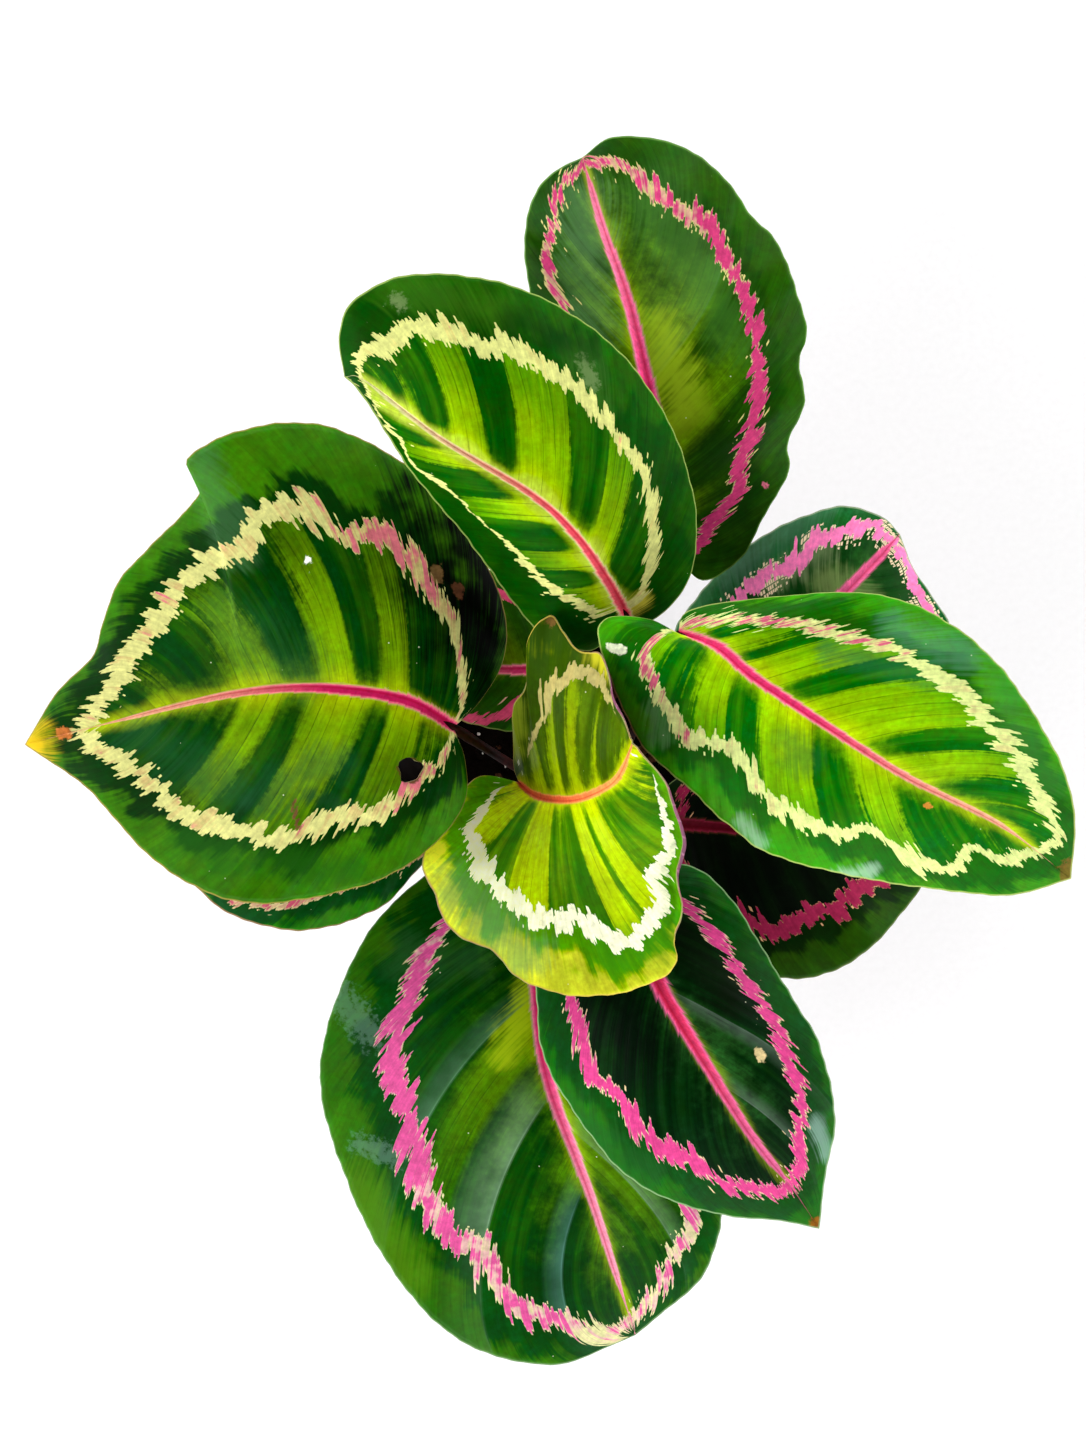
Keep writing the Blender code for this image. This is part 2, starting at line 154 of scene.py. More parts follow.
# The leaves. Shapes are the CAD's own: the root in the soil, the midrib from the stalk to the tip, and the
# margins to its left and right looking to the tip. A lift is how far the margin stands over the midrib
# at the quarters of its length, an arch how far each half bulges, a wave a height, a count and a start, a
# roll where the margin starts to turn over and how far it turns, and eaten a hole's middle and radius.
# The ring is the painted line's middle on each half from base to tip, ringHalf its half width and blush
# how pink it is, by share of its length. Stripes are pale at 1 and dark at 0 along the leaf: lean is how
# far they run forward on their way out, and crisp how clean they are. The ribHalf is the painted
# midrib's half width at its base and its tip, and where it ends. Further on, glow is how far light
# green spreads from the midrib, border how wide the dark band outside the ring is, stroke how wide the
# paint's strokes are, fringe how much cream shows round their pink, flecks how many cream dots lie
# beside the ring, gloss the wax's shine, and fresh how much painted light brightens the right
# half near its base. A sheen panel is a painted sheen between two side veins: its half, its sharp
# edge's place, its width to the faded edge, its colour and its strength. A patch has a start, an end,
# a radius, a colour and a strength. It mixes with the green (some are painted sheen and painted
# highlights), or darkens it (MULTIPLY, painted shade and painted shadow), or is a speckled film on it
# (bloom: grey scars, and painted sheen), or lies over the paint too (over, one of them painted
# shade). Colours are in the order of colourNames; leftColours are darker copies of them, painted
# shade on the left half of a rolled-over leaf.

colourNames = ("dark", "light", "olive", "glow", "outNear", "outFar", "ringPale", "ringTan", "ringPink",
               "rib", "ribEdge", "ribTip", "line")

leaves = {
    "leaf_west": dict(
        root=(-16, 4), lift=[(-9, -10, -4), (-16, -14, -6)], arch=4, wave=(2, 3.5, .3), eaten=[(-58, 10, 4)],
        lean=.17, ribHalf=(2.6, .7, .86), crisp=.8, glow=1.7, border=12, stroke=1.25, fringe=.6, flecks=.04,
        midrib=[(-44, 24, 262), (-60, 33, 266), (-88, 37, 266), (-118, 35, 260), (-159, 26, 247),
            (-193, 18, 234)],
        left=[(-40, 12), (-41, -3), (-55, -19), (-77, -30), (-113, -35), (-143, -23), (-168, 2), (-185, 13)],
        right=[(-35, 33), (-27, 48), (-28, 67), (-41, 93), (-59, 112), (-87, 126), (-113, 125), (-134, 115),
            (-130, 104), (-146, 87), (-158, 74), (-164, 59), (-168, 48), (-181, 36)],
        ring=[[(-46, 16), (-49, 11), (-57, 5), (-65, -3), (-74, -5), (-88, -8), (-100, -13), (-114, -11),
             (-129, -6), (-140, -1), (-149, 8), (-162, 15), (-169, 20)],
            [(-41, 30), (-41, 44), (-45, 60), (-52, 71), (-61, 82), (-70, 90), (-81, 88), (-89, 94),
             (-99, 97), (-110, 93), (-113, 84), (-124, 80), (-134, 74), (-142, 63), (-149, 52), (-158, 41),
             (-167, 29), (-171, 23)]],
        ringHalf=[[(0, 1.1), (.1, 3.4), (.6, 3.6), (1, 3.4)],
            [(0, 1.1), (.08, 1.8), (.2, 3), (.33, 4.4), (.6, 4.3), (.8, 4.2), (1, 3.6)]],
        blush=[[(0, .3), (.12, .3), (.2, .05), (.5, -.05), (1, -.1)],
            [(0, .1), (.12, .2), (.2, .4), (.33, .4), (.42, .1), (.5, -.05), (1, -.1)]],
        stripes=[[(0, .4), (.1, .35), (.15, .5), (.19, .35), (.22, .9), (.28, .8), (.3, .15), (.335, .1),
             (.375, .7), (.42, 1), (.455, .85), (.49, .05), (.525, .05), (.55, .6), (.6, .65), (.62, .08),
             (.75, .05), (.8, .2), (.86, .05), (1, .1)],
            [(0, .3), (.12, .1), (.25, .1), (.265, 1), (.285, .75), (.31, .6), (.335, .05), (.385, .05),
             (.4, 1), (.42, .7), (.445, .6), (.475, .05), (.53, .05), (.55, .5), (.6, .6), (.65, .1),
             (.7, .1), (.73, .35), (.76, .35), (.8, .05), (1, .1)]],
        colours=("#0c3c12", "#6c9a08", "#406c10", "#a4b83c", "#083208", "#327404", "#d6d584", "#cbae70",
            "#d8707c", "#b3174f", "#d95a76", "#d99a7a", "#8a7a3a"),
        # Painted shade: the first patch darkens the lobe beside the north-west leaf, which turns away from
        # the light
        patches=[((-34, 104), (-33, 64), 44, "#0c1808", 1, "MULTIPLY"),
            ((-189, 18), (-196, 15), 12, "#d8b414", 1), ((-177, 22), (-179, 22), 3.5, "#d87838", .6, "over"),
            ((-58, 10), (-58, 10), 6.5, "#4a3a14", .9, "over"),
            ((-91, 78), (-92, 79), 1.6, "#f0f0e4", 1, "over"),
            ((-50, 77), (-49, 74), 3, "#7a5a34", .7, "over"),
            ((-43, 71), (-42, 69), 2.6, "#5a3420", .9, "over"), ((-92, 2), (-78, -4), 5, "#123a1c", .7),
            # The grey-green patch at the end of the next line is a painted sheen by the notch
            ((-97, 0), (-95, -10), 1.2, "#6a3a2c", .8, "over"), ((-128, 110), (-116, 84), 12, "#4f8050", .3),
            ((-150, 20), (-120, 6), 14, "#164c24", .5), ((-120, 60), (-96, 44), 16, "#1c5424", .4),
            ((-106, 2), (-84, 12), 12, "#164c28", .4), ((-140, -14), (-80, -24), 11, "#1a5408", .6)],
    ),
    "leaf_southwest": dict(
        root=(-17, -7), lift=[(-3, -5, -3), (-6, -8, -4)], arch=3, wave=(1.5, 3, 0), lean=.12,
        ribHalf=(2.6, 1, .9), crisp=.4, glow=.6, border=8, stroke=.9, fringe=.5, flecks=.05,
        midrib=[(-45, -2, 208), (-64, -7, 217), (-89, -16, 219), (-114, -24, 213), (-139, -33, 203)],
        left=[(-40, -13), (-57, -25), (-72, -40), (-98, -48), (-125, -43)],
        right=[(-50, 9), (-68, 18), (-97, 12), (-123, -5)],
        ring=[[(-46, -8), (-57, -21), (-71, -28), (-85, -33), (-99, -37), (-110, -39), (-124, -38)],
            [(-52, 4), (-68, 9), (-94, 4), (-116, -9), (-128, -22), (-126, -34)]],
        ringHalf=[[(0, 1), (1, 1.7)], [(0, 1), (1, 2)]],
        blush=[[(0, .6), (.5, .4), (1, .25)], [(0, .35), (1, .35)]],
        stripes=[[(0, .2), (.2, .4), (.3, .1), (.4, .5), (.5, .1), (.62, .4), (.75, .1), (1, .1)],
            [(0, .2), (.25, .4), (.35, .1), (.5, .5), (.6, .1), (1, .1)]],
        colours=("#124818", "#5f8f30", "#3c6a28", "#7f9a3a", "#12441a", "#2f7a20", "#d3c58a", "#b88a70",
            "#c4506a", "#b3174f", "#c95a70", "#b98a6a", "#8a6a4a"),
        # Painted shade: both patches blacken this blade where it shows through the west leaf's eaten hole
        patches=[((-60, 8), (-52, 2), 16, "#0c0804", 1, "MULTIPLY"),
            ((-62, 10), (-52, 4), 12, "#0a0604", 1, "over")],
    ),
    "leaf_northwest": dict(
        root=(2, 17), lift=[(-16, -26, -18), (-6, -12, -8)], arch=4, wave=(1.8, 4, .5), lean=.13,
        ribHalf=(2.2, 1, .94), crisp=1, glow=1.7, border=14, stroke=1, fringe=.3, flecks=.05, gloss=.02,
        midrib=[(14, 61, 264), (6, 74, 275), (-4, 87, 284), (-18, 99, 290), (-47, 117, 288), (-72, 138, 272),
            (-80, 141, 262)],
        left=[(6, 52), (-2, 50), (-16, 57), (-26, 69), (-40, 88), (-57, 108), (-69, 127), (-76, 137)],
        right=[(23, 60), (34, 72), (37, 88), (35, 105), (27, 126), (8, 150), (-19, 166), (-55, 172),
            (-75, 165), (-81, 154)],
        ring=[[(11, 63), (4, 61), (-1, 64), (-7, 67), (-13, 72), (-20, 78), (-24, 83), (-32, 90), (-45, 102),
             (-56, 110), (-60, 118), (-65, 123), (-70, 132), (-74, 140)],
            [(17, 66), (19, 69), (21, 78), (23, 86), (21, 95), (20, 104), (16, 112), (8, 121), (2, 127),
             (-4, 134), (-13, 140), (-21, 144), (-28, 148), (-33, 146), (-40, 150), (-49, 153), (-57, 153),
             (-62, 148), (-72, 148), (-74, 145)]],
        ringHalf=[[(0, 1.4), (.1, 1.8), (.3, 1.4), (.38, .8), (.45, .5), (.55, .6), (.62, .9), (.7, .4),
             (.8, .9), (.9, .6), (1, .8)],
            [(0, 1.5), (.1, 2.2), (.4, 2.5), (.6, 3.5), (.9, 3.8), (1, 2.4)]],
        blush=[[(0, 0), (.1, -.2), (1, -.2)], [(0, 0), (.1, -.22), (1, -.22)]],
        stripes=[[(0, .6), (.12, .6), (.18, .7), (.24, .6), (.265, .15), (.3, .1), (.325, .6), (.365, .75),
             (.385, .2), (.42, .12), (.462, .05), (.48, .75), (.53, .75), (.55, .3), (.6, .15), (.64, .2),
             (.66, .55), (.7, .55), (.72, .1), (.76, .1), (.8, .35), (1, .3)],
            [(0, .5), (.1, .4), (.16, .2), (.22, .05), (.28, .1), (.33, .95), (.365, .9), (.395, .15),
             (.46, .08), (.5, .85), (.55, 1), (.585, .8), (.61, .08), (.655, .1), (.685, .8), (.72, .8),
             (.745, .08), (.79, .12), (.82, .4), (.85, .15), (.9, .2), (1, .2)]],
        colours=("#0f5010", "#82b404", "#4a8608", "#c6d868", "#084404", "#185604", "#d9dc84", "#d6c876",
            "#dc6a80", "#d84a58", "#e29a84", "#d8d698", "#8aa050"),
        patches=[((-62, 164), (-60, 162), 4, "#8a9a6a", .5, "bloom"),
            ((-1, 143), (2, 135), 4, "#8a9a6a", .5, "bloom"), ((-2, 144), (4, 130), 10, "#3a6a20", .4),
            ((-60, 166), (-30, 158), 12, "#3a6c12", .4), ((-24, 156), (0, 148), 8, "#072c04", .6),
            ((14, 63), (19, 66), 5, "#c8c03c", .9)],
    ),
    "leaf_north": dict(
        root=(9, 26), lift=[(-8, -12, -8), (-6, -10, -8)], arch=3, wave=(3, 5.5, 0), lean=.19,
        ribHalf=(4, 1.7, .97), crisp=.35, glow=1.2, border=8, stroke=1.1, fringe=.75, flecks=.2,
        midrib=[(31, 88, 232), (26, 119, 246), (21, 142, 249), (15, 169, 245), (7, 195, 236), (0, 224, 222)],
        left=[(20, 88), (3, 114), (-13, 149), (-19, 178), (-20, 196), (-16, 211), (-8, 219)],
        right=[(41, 75), (55, 83), (63, 98), (71, 112), (71, 123), (76, 136), (74, 149), (77, 161), (71, 179),
            (66, 192), (58, 201), (47, 215), (32, 227), (11, 230)],
        ring=[[(24, 96), (12, 116), (0, 146), (-7, 168), (-11, 176), (-12, 185), (-11, 193), (-10, 202),
             (-8, 211), (-2, 218), (1, 222)],
            [(38, 84), (44, 94), (52, 104), (54, 114), (56, 123), (60, 140), (59, 154), (54, 173), (49, 184),
             (44, 194), (39, 199), (30, 204), (22, 212), (13, 219), (4, 221)]],
        ringHalf=[[(0, 1), (.6, 2), (1, 2)],
            [(0, 2), (.1, 3), (.3, 3.3), (.45, 2.8), (.6, 2.9), (.72, 4), (.85, 3.4), (1, 2)]],
        blush=[[(0, .8), (.6, .55), (.85, .5), (1, .65)],
            [(0, 1), (.6, .9), (.75, .6), (.85, .35), (.92, .3), (1, .6)]],
        stripes=[[(0, .2), (.555, .3), (.615, .5), (.655, .25), (.705, .5), (.745, .1), (.795, .15),
             (.855, .2), (1, .2)],
            [(0, .2), (.1, .1), (.17, .5), (.22, .45), (.26, .08), (.32, .1), (.37, .6), (.42, .65),
             (.47, .3), (.51, .25), (.55, .6), (.6, .5), (.65, .35), (.7, .3), (.75, .2), (.81, .35),
             (.87, .2), (1, .2)]],
        colours=("#1c4a0a", "#6c9a0c", "#3a7008", "#a8b850", "#184806", "#225604", "#d8d080", "#dc9a94",
            "#d8407c", "#f03c7c", "#f868a0", "#ea7c9c", "#5f8a3a"),
        # A painted sheen on the right half
        panels=[(1, .545, -.25, "#5c8050", .28)],
        # Painted sheen: the first two patches are grey-green light on both halves
        patches=[((0, 206), (2, 160), 16, "#5f8c58", .35), ((24, 206), (50, 160), 18, "#3f7428", .4),
            ((26, 158), (34, 132), 13, "#98b81c", .7), ((8, 140), (18, 120), 12, "#8aac2c", .55),
            # Painted shadow: the first two patches darken this leaf beside the north-west leaf's edge
            ((44, 118), (50, 98), 13, "#16400a", .5), ((50, 122), (60, 84), 26, "#7a9030", .5, "MULTIPLY"),
            ((62, 108), (63, 107), 1.5, "#e0708a", .8, "over")],
    ),
    "leaf_northeast": dict(
        root=(22, 13), lift=[(-18, -18, -8), (-4, -6, -4)], arch=4, wave=(1.5, 3, 0), lean=.13,
        ribHalf=(3.4, 2, .95), crisp=.2, glow=.4, border=8, stroke=1.5, fringe=.8, flecks=1.2,
        midrib=[(55, 37, 224), (74, 54, 238), (88, 69, 243), (102, 83, 237), (110, 91, 230)],
        left=[(42, 42), (33, 55), (40, 69), (60, 89), (87, 100), (103, 97)],
        right=[(61, 23), (91, 22), (120, 36), (126, 56), (120, 69), (114, 79)],
        ring=[[(49, 46), (47, 57), (53, 68), (65, 77), (73, 81), (79, 88), (89, 91), (100, 93), (107, 88)],
            [(64, 32), (90, 32), (111, 42), (118, 55), (118, 63), (114, 72), (113, 79), (110, 85)]],
        ringHalf=[[(0, 1.5), (.3, 3), (.9, 3.2), (1, 2)], [(0, 1.5), (.5, 3), (1, 2.2)]],
        blush=[[(0, 1), (1, .95)], [(0, 1), (1, .95)]],
        stripes=[[(0, .1), (.5, .15), (1, .1)], [(0, .1), (.5, .15), (1, .1)]],
        colours=("#16401a", "#4a7a3a", "#345f2c", "#8a9a50", "#1f5a2c", "#3c7048", "#eed8b0", "#e89ab0",
            "#ff80bc", "#f86aa0", "#fc88b4", "#e05a8c", "#8a9a7a"),
        # Painted sheen: all three patches are grey-green light on the left half
        patches=[((52, 80), (78, 98), 14, "#4f8060", .4), ((84, 74), (96, 66), 10, "#8fa860", .5),
            ((66, 76), (82, 84), 8, "#7f9464", .5)],
    ),
    "leaf_east": dict(
        root=(13, 8), lift=[(-4, -8, -6), (-6, -16, -12)], arch=4, wave=(1.8, 3.5, .2), lean=.18,
        ribHalf=(2.3, 1, .9), crisp=1, glow=1.2, border=10, stroke=1.05, fringe=.5, flecks=.06,
        midrib=[(30, 54, 284), (42, 50, 290), (54, 40, 292), (78, 24, 291), (104, 8, 284), (137, -8, 270),
            (164, -27, 254)],
        left=[(34, 62), (60, 66), (93, 67), (116, 59), (137, 41), (155, 16), (163, -6)],
        right=[(20, 59), (6, 59), (5, 49), (17, 20), (34, 4), (47, -8), (62, -18), (93, -26), (119, -30),
            (143, -32)],
        ring=[[(35, 58), (52, 59), (67, 57), (78, 55), (88, 52), (96, 50), (104, 46), (111, 42), (119, 36),
             (128, 28), (134, 22), (141, 15), (147, 5), (152, -3), (157, -11)],
            [(26, 55), (20, 50), (19, 45), (21, 39), (26, 31), (30, 23), (37, 20), (46, 18), (50, 13),
             (55, 5), (63, -1), (73, -7), (85, -11), (91, -8), (101, -15), (111, -21), (122, -22), (127, -15),
             (137, -19), (149, -18), (157, -14)]],
        ringHalf=[[(0, 1.6), (.25, 2.3), (.5, 2.6), (.75, 3.4), (1, 2.6)],
            [(0, 1), (.08, 2.4), (.3, 2.8), (.55, 2.6), (.63, 1.1), (.7, 2.8), (.8, 2.4), (.86, 1.2),
             (.92, 2.4), (1, 2)]],
        blush=[[(0, .35), (.2, .3), (.3, .1), (.37, .35), (.45, .3), (.5, -.15), (1, -.2)],
            [(0, .3), (.08, .5), (.16, .3), (.24, -.05), (.35, -.2), (1, -.2)]],
        stripes=[[(0, .5), (.1, .5), (.14, .15), (.17, .1), (.2, .6), (.25, .45), (.27, .15), (.285, .1),
             (.3, .9), (.34, 1), (.37, .85), (.395, .1), (.435, .08), (.455, .7), (.475, .6), (.49, .85),
             (.53, 1), (.56, .85), (.585, .12), (.615, .1), (.635, .5), (.67, .65), (.7, .5), (.72, .1),
             (.75, .08), (.775, .4), (.8, .1), (.85, .3), (.9, .1), (1, .1)],
            [(0, .5), (.1, .6), (.16, .15), (.2, .3), (.25, .9), (.285, .5), (.31, .1), (.355, .15),
             (.39, .9), (.44, 1), (.47, .95), (.495, .1), (.55, .1), (.59, .75), (.63, .7), (.66, .2),
             (.74, .1), (.79, .4), (.83, .15), (.9, .15), (1, .1)]],
        colours=("#126a18", "#8ec40c", "#5ca408", "#bcd63a", "#146208", "#33900c", "#e0ee94", "#dcd08a",
            "#d8607e", "#e0356c", "#ec7a90", "#e8a888", "#9aa85a"),
        patches=[((8, 50), (11.5, 49), 2.6, "#e4ecc8", .9, "over"), ((22, 28), (24, 22), 7, "#7ab870", .35),
            # Painted light: the two patches on this line are painted sheen, the first over water marks, and
            # the two pale patches on the next line are painted highlights on the margin
            ((99, 56), (124, 46), 9, "#5f9478", .35), ((130, 40), (152, 6), 11, "#3f8434", .4),
            ((51, -6), (57, -14), 4, "#a8ccb0", .4), ((83, -25), (94, -23), 4.6, "#a8ccb0", .5),
            ((78, 48), (112, 40), 7, "#246038", .5), ((163, -24), (165, -30), 6, "#6a4a1c", .8, "over"),
            ((110, -1), (112, -2), 1.3, "#c87a30", .8, "over"), ((66, 18), (70, 14), 10, "#1c5a24", .5)],
    ),
    "leaf_young": dict(
        root=(-7, -1), lift=[(26, 22, 8), (40, 12, -14)], arch=3, wave=(1.5, 4, .4), roll=(.7, 2.6), lean=0,
        ribHalf=(1.7, 1.3, .98), crisp=.9, glow=1.3, border=13, stroke=1.4, fringe=.3, flecks=.03, gloss=.02,
        # fresh: painted light that brightens the right half near its base
        fresh=.95,
        midrib=[(-22, 4, 214), (-15, 0, 232), (-4, 0, 262), (5, 4, 284), (10, 9, 300), (14, 19, 312)],
        left=[(-24, 10), (-24, 20), (-24, 31), (-20, 37), (-19, 44), (-19, 52), (-16, 58), (-11, 61),
            (-7, 55), (-2, 49), (5, 48), (8, 41), (9, 34), (12, 27)],
        right=[(-35, 7), (-42, 2), (-48, -5), (-53, -14), (-54, -23), (-50, -31), (-47, -39), (-41, -46),
            (-31, -50), (-24, -58), (-15, -63), (-2, -66), (13, -65), (26, -60), (31, -54), (30, -47),
            (33, -36), (31, -25), (33, -13), (28, 1), (24, 9)],
        ring=[[(-19, 12), (-19, 15), (-16, 23), (-13, 28), (-13, 36), (-9, 39), (-4, 42), (3, 41), (10, 27)],
            [(-25, 4), (-31, 1), (-36, -8), (-39, -12), (-35, -22), (-30, -29), (-22, -36), (-15, -42),
             (-6, -39), (2, -42), (13, -48), (21, -42), (25, -33), (22, -24), (28, -18), (26, -8), (20, 12)]],
        ringHalf=[[(0, 0), (.1, 1), (.3, 1.4), (.45, 2.7), (.75, 2.4), (.9, 1), (1, 0)],
            [(0, 0), (.08, 1.6), (.2, 3.4), (.7, 3.4), (.85, 2.2), (1, 0)]],
        blush=[[(0, -.2), (.4, 0), (.8, -.1), (1, -.2)], [(0, -.35), (1, -.35)]],
        stripes=[[(0, .5), (.263, .4), (.403, .6), (.475, .2), (.512, .3), (.573, .8), (.595, .15),
             (.628, .2), (.67, .75), (.72, .1), (.745, .2), (.785, .5), (.81, .1), (.883, .15), (.93, .5),
             (1, .5)],
            [(0, .7), (.1, .6), (.15, .5), (.2, .75), (.24, .8), (.27, .6), (.3, .12), (.365, .12),
             (.385, .95), (.48, 1), (.495, .15), (.55, .2), (.57, .05), (.605, .1), (.625, .9), (.655, .9),
             (.672, .15), (.69, .15), (.7, .85), (.735, .85), (.752, .15), (.85, .1), (.9, .3), (1, .5)]],
        colours=("#30720c", "#a8c24c", "#a8c43c", "#bccc3c", "#4c8c20", "#bcc452", "#fdfdd8", "#e8e0a4",
            "#e8a89a", "#cc5430", "#d87c44", "#c98a4a", "#c8b04a"),
        # leftColours: darker copies of the colours above, painted shade on the rolled-over left half
        leftColours=("#325002", "#8ca418", "#6c880a", "#a4ac18", "#2c4804", "#7c8c24", "#b0a564", "#b8a864",
            "#b09058"),
        patches=[((-16, 58), (0, 54), 20, "#264202", 1), ((-11, 60), (-9, 61), 4, "#6a4a24", .8, "over"),
            ((-24, 16), (-24, 31), 7, "#7c8c1c", .8), ((4, 47), (8, 43), 8, "#b4b020", .9),
            # Painted sheen: the first patch on this line is grey-green light on the lower left margin
            ((-44, -30), (-20, -52), 14, "#6a9c58", .6), ((10, -52), (28, -46), 12, "#2c7c0c", .6)],
    ),
    "leaf_south": dict(
        root=(-6, -13), lift=[(-6, -10, -6), (-4, -12, -8)], arch=4, wave=(1.8, 3.5, 0), lean=.24,
        ribHalf=(3.6, 1.6, .93), crisp=.15, glow=1.3, border=14, stroke=1.3, fringe=.75, flecks=.2,
        midrib=[(-17, -30, 208), (-16, -66, 222), (-12, -99, 222), (3, -142, 212), (15, -182, 196),
            (20, -199, 186)],
        left=[(0, -34), (22, -59), (39, -88), (48, -120), (50, -150), (44, -173), (30, -188)],
        right=[(-38, -22), (-56, -29), (-79, -54), (-93, -98), (-83, -140), (-62, -178), (-40, -199),
            (-11, -207), (10, -202)],
        ring=[[(-8, -40), (12, -64), (27, -92), (36, -122), (38, -153), (35, -161), (31, -170), (26, -182),
             (18, -192)],
            [(-30, -34), (-48, -46), (-54, -56), (-60, -66), (-62, -76), (-66, -88), (-67, -98), (-62, -111),
             (-58, -124), (-57, -132), (-54, -144), (-46, -157), (-37, -160), (-33, -169), (-25, -182),
             (-15, -188), (-8, -188), (3, -195), (12, -197)]],
        ringHalf=[[(0, 2), (.6, 3.5), (1, 2.6)],
            [(0, 1.5), (.1, 2.9), (.4, 5.6), (.6, 5), (.8, 4.6), (1, 3.5)]],
        blush=[[(0, .9), (.5, .5), (.8, .3), (1, .15)],
            [(0, .8), (.1, .75), (.4, .75), (.6, .55), (.8, .45), (.9, .4), (1, .15)]],
        stripes=[[(0, .1), (.54, .3), (.62, .6), (.68, .5), (.72, .1), (.76, .3), (.81, .1), (1, .15)],
            [(0, .1), (.25, .1), (.37, .12), (.395, .1), (.42, .45), (.45, .85), (.49, .7), (.52, .2),
             (.55, .35), (.575, .35), (.59, .02), (.64, .05), (.68, .2), (.72, .25), (.74, .03), (.78, .05),
             (.82, .2), (.87, .1), (1, .15)]],
        colours=("#0c3e14", "#5a8e18", "#38701c", "#9cbc30", "#0e4414", "#2a6806", "#e2e0a0", "#e6aab4",
            "#e4589c", "#e03c78", "#ee7898", "#ea90a8", "#6a8a5a"),
        # Painted sheen in bands between side veins
        panels=[(1, .4, .05, "#5c8a64", .5), (1, .584, .085, "#7ca07c", .55), (1, .742, .045, "#4c7c6c", .6),
            (0, .64, .06, "#6c8a70", .4)],
        # Painted sheen: the first two patches are pale light on the left margin, speckled like water marks
        patches=[((-88, -70), (-74, -84), 10, "#7fa494", .22, "bloom"),
            ((-79, -124), (-66, -128), 7, "#7fa494", .22, "bloom"),
            ((-80, -138), (-62, -172), 13, "#4c7c08", .55), ((-28, -90), (-18, -68), 9, "#a0bc10", .85),
            ((-62, -56), (-40, -60), 14, "#2c5c2c", .4)],
    ),
    "leaf_southeast": dict(
        root=(6, -11), lift=[(-8, -14, -8), (-4, -10, -8)], arch=4, wave=(1.5, 3, .3), lean=.36,
        ribHalf=(3.6, 1.4, .88), crisp=.2, glow=1.2, border=10, stroke=1.3, fringe=1, flecks=.06,
        midrib=[(14, -37, 238), (26, -64, 250), (42, -91, 250), (57, -115, 243), (72, -135, 233),
            (83, -152, 222)],
        left=[(23, -25), (37, -24), (50, -34), (64, -56), (73, -71), (81, -85), (87, -111), (84, -133)],
        right=[(-5, -35), (-15, -52), (-16, -70), (-12, -93), (8, -123), (26, -137), (48, -145), (69, -148)],
        ring=[[(28, -32), (36, -38), (42, -44), (49, -52), (55, -62), (60, -69), (66, -80), (70, -89),
             (74, -102), (74, -113), (74, -125), (72, -134)],
            [(2, -44), (-6, -58), (-3, -72), (-1, -80), (2, -92), (9, -99), (16, -106), (22, -115),
             (30, -121), (38, -125), (47, -132), (57, -134), (67, -137)]],
        ringHalf=[[(0, 1.5), (.1, 2.3), (.6, 2.8), (1, 2.8)],
            [(0, 1.5), (.2, 2), (.35, 3.8), (.5, 2.2), (.68, 4.2), (.85, 2.8), (1, 2.8)]],
        blush=[[(0, .95), (1, .9)], [(0, .95), (.5, .9), (1, .95)]],
        stripes=[[(0, .05), (.36, .1), (.43, .35), (.5, .2), (.6, .3), (.68, .1), (1, .1)],
            [(0, .08), (1, .08)]],
        colours=("#05200a", "#3a6a34", "#244e24", "#8a9c38", "#0c4412", "#1c6418", "#ecd2a0", "#e890b0",
            "#e0468e", "#d8305c", "#e8588c", "#d0608c", "#7a9a6a"),
        # Painted sheen in bands between side veins
        panels=[(0, .387, -.06, "#66786a", .45), (0, .64, .06, "#66786a", .4)],
        patches=[((59, -86), (60, -88), 2.4, "#e0c890", .8, "over"),
            ((82, -149), (84, -155), 4, "#8e4d0a", .8, "over"), ((-4, -108), (20, -128), 12, "#1c5a1c", .5),
            # Painted light: the pale blue-grey patch is a painted highlight on the margin, and the two
            # near-black patches after it are the young leaf's painted shadow
            ((80, -112), (84, -124), 5, "#8fb4a4", .5), ((8, -62), (20, -84), 20, "#020703", .8),
            ((34, -46), (50, -66), 14, "#0c1208", .6)],
    ),
    "leaf_low_east": dict(
        root=(17, -4), lift=[(-4, -8, -5), (-5, -8, -5)], arch=3, wave=(1.5, 3, 0), lean=.12,
        ribHalf=(2.8, 1.2, .9), crisp=.2, glow=.5, border=10, stroke=1.1, fringe=.9, flecks=.05,
        midrib=[(27, -10, 202), (54, -12, 213), (85, -15, 211), (107, -19, 203), (128, -25, 195)],
        left=[(30, 2), (56, 16), (92, 16), (117, -2)],
        right=[(28, -22), (37, -46), (56, -62), (81, -66), (101, -57), (120, -38)],
        ring=[[(36, 1), (56, 8), (88, 8), (108, -5), (117, -19)],
            [(34, -22), (46, -38), (58, -44), (66, -48), (72, -48), (80, -44), (90, -40), (98, -34),
             (106, -31), (115, -26)]],
        ringHalf=[[(0, 2), (1, 3)], [(0, 2), (.3, 4), (.8, 4), (1, 3)]],
        blush=[[(0, 1), (1, 1)], [(0, 1), (1, 1)]],
        stripes=[[(0, .05), (1, .05)], [(0, .05), (1, .05)]],
        # Painted shade: these colours are darkened because this leaf lies in the shade of the leaves above it
        colours=("#050c05", "#16300c", "#0c2408", "#16280c", "#0c2408", "#244c0e", "#d8a878", "#8c3440",
            "#a0244c", "#5a0c1c", "#7a1c30", "#5a3020", "#5a6a3a"),
        patches=[],
    ),
    "leaf_low_west": dict(
        root=(-7, 14), lift=[(-4, -4, -2), (-4, -8, -4)], arch=2, wave=(1, 3, 0), lean=.12,
        ribHalf=(2.6, 1.2, .9), crisp=.4, glow=.8, border=6, stroke=.9, fringe=.3, flecks=.05,
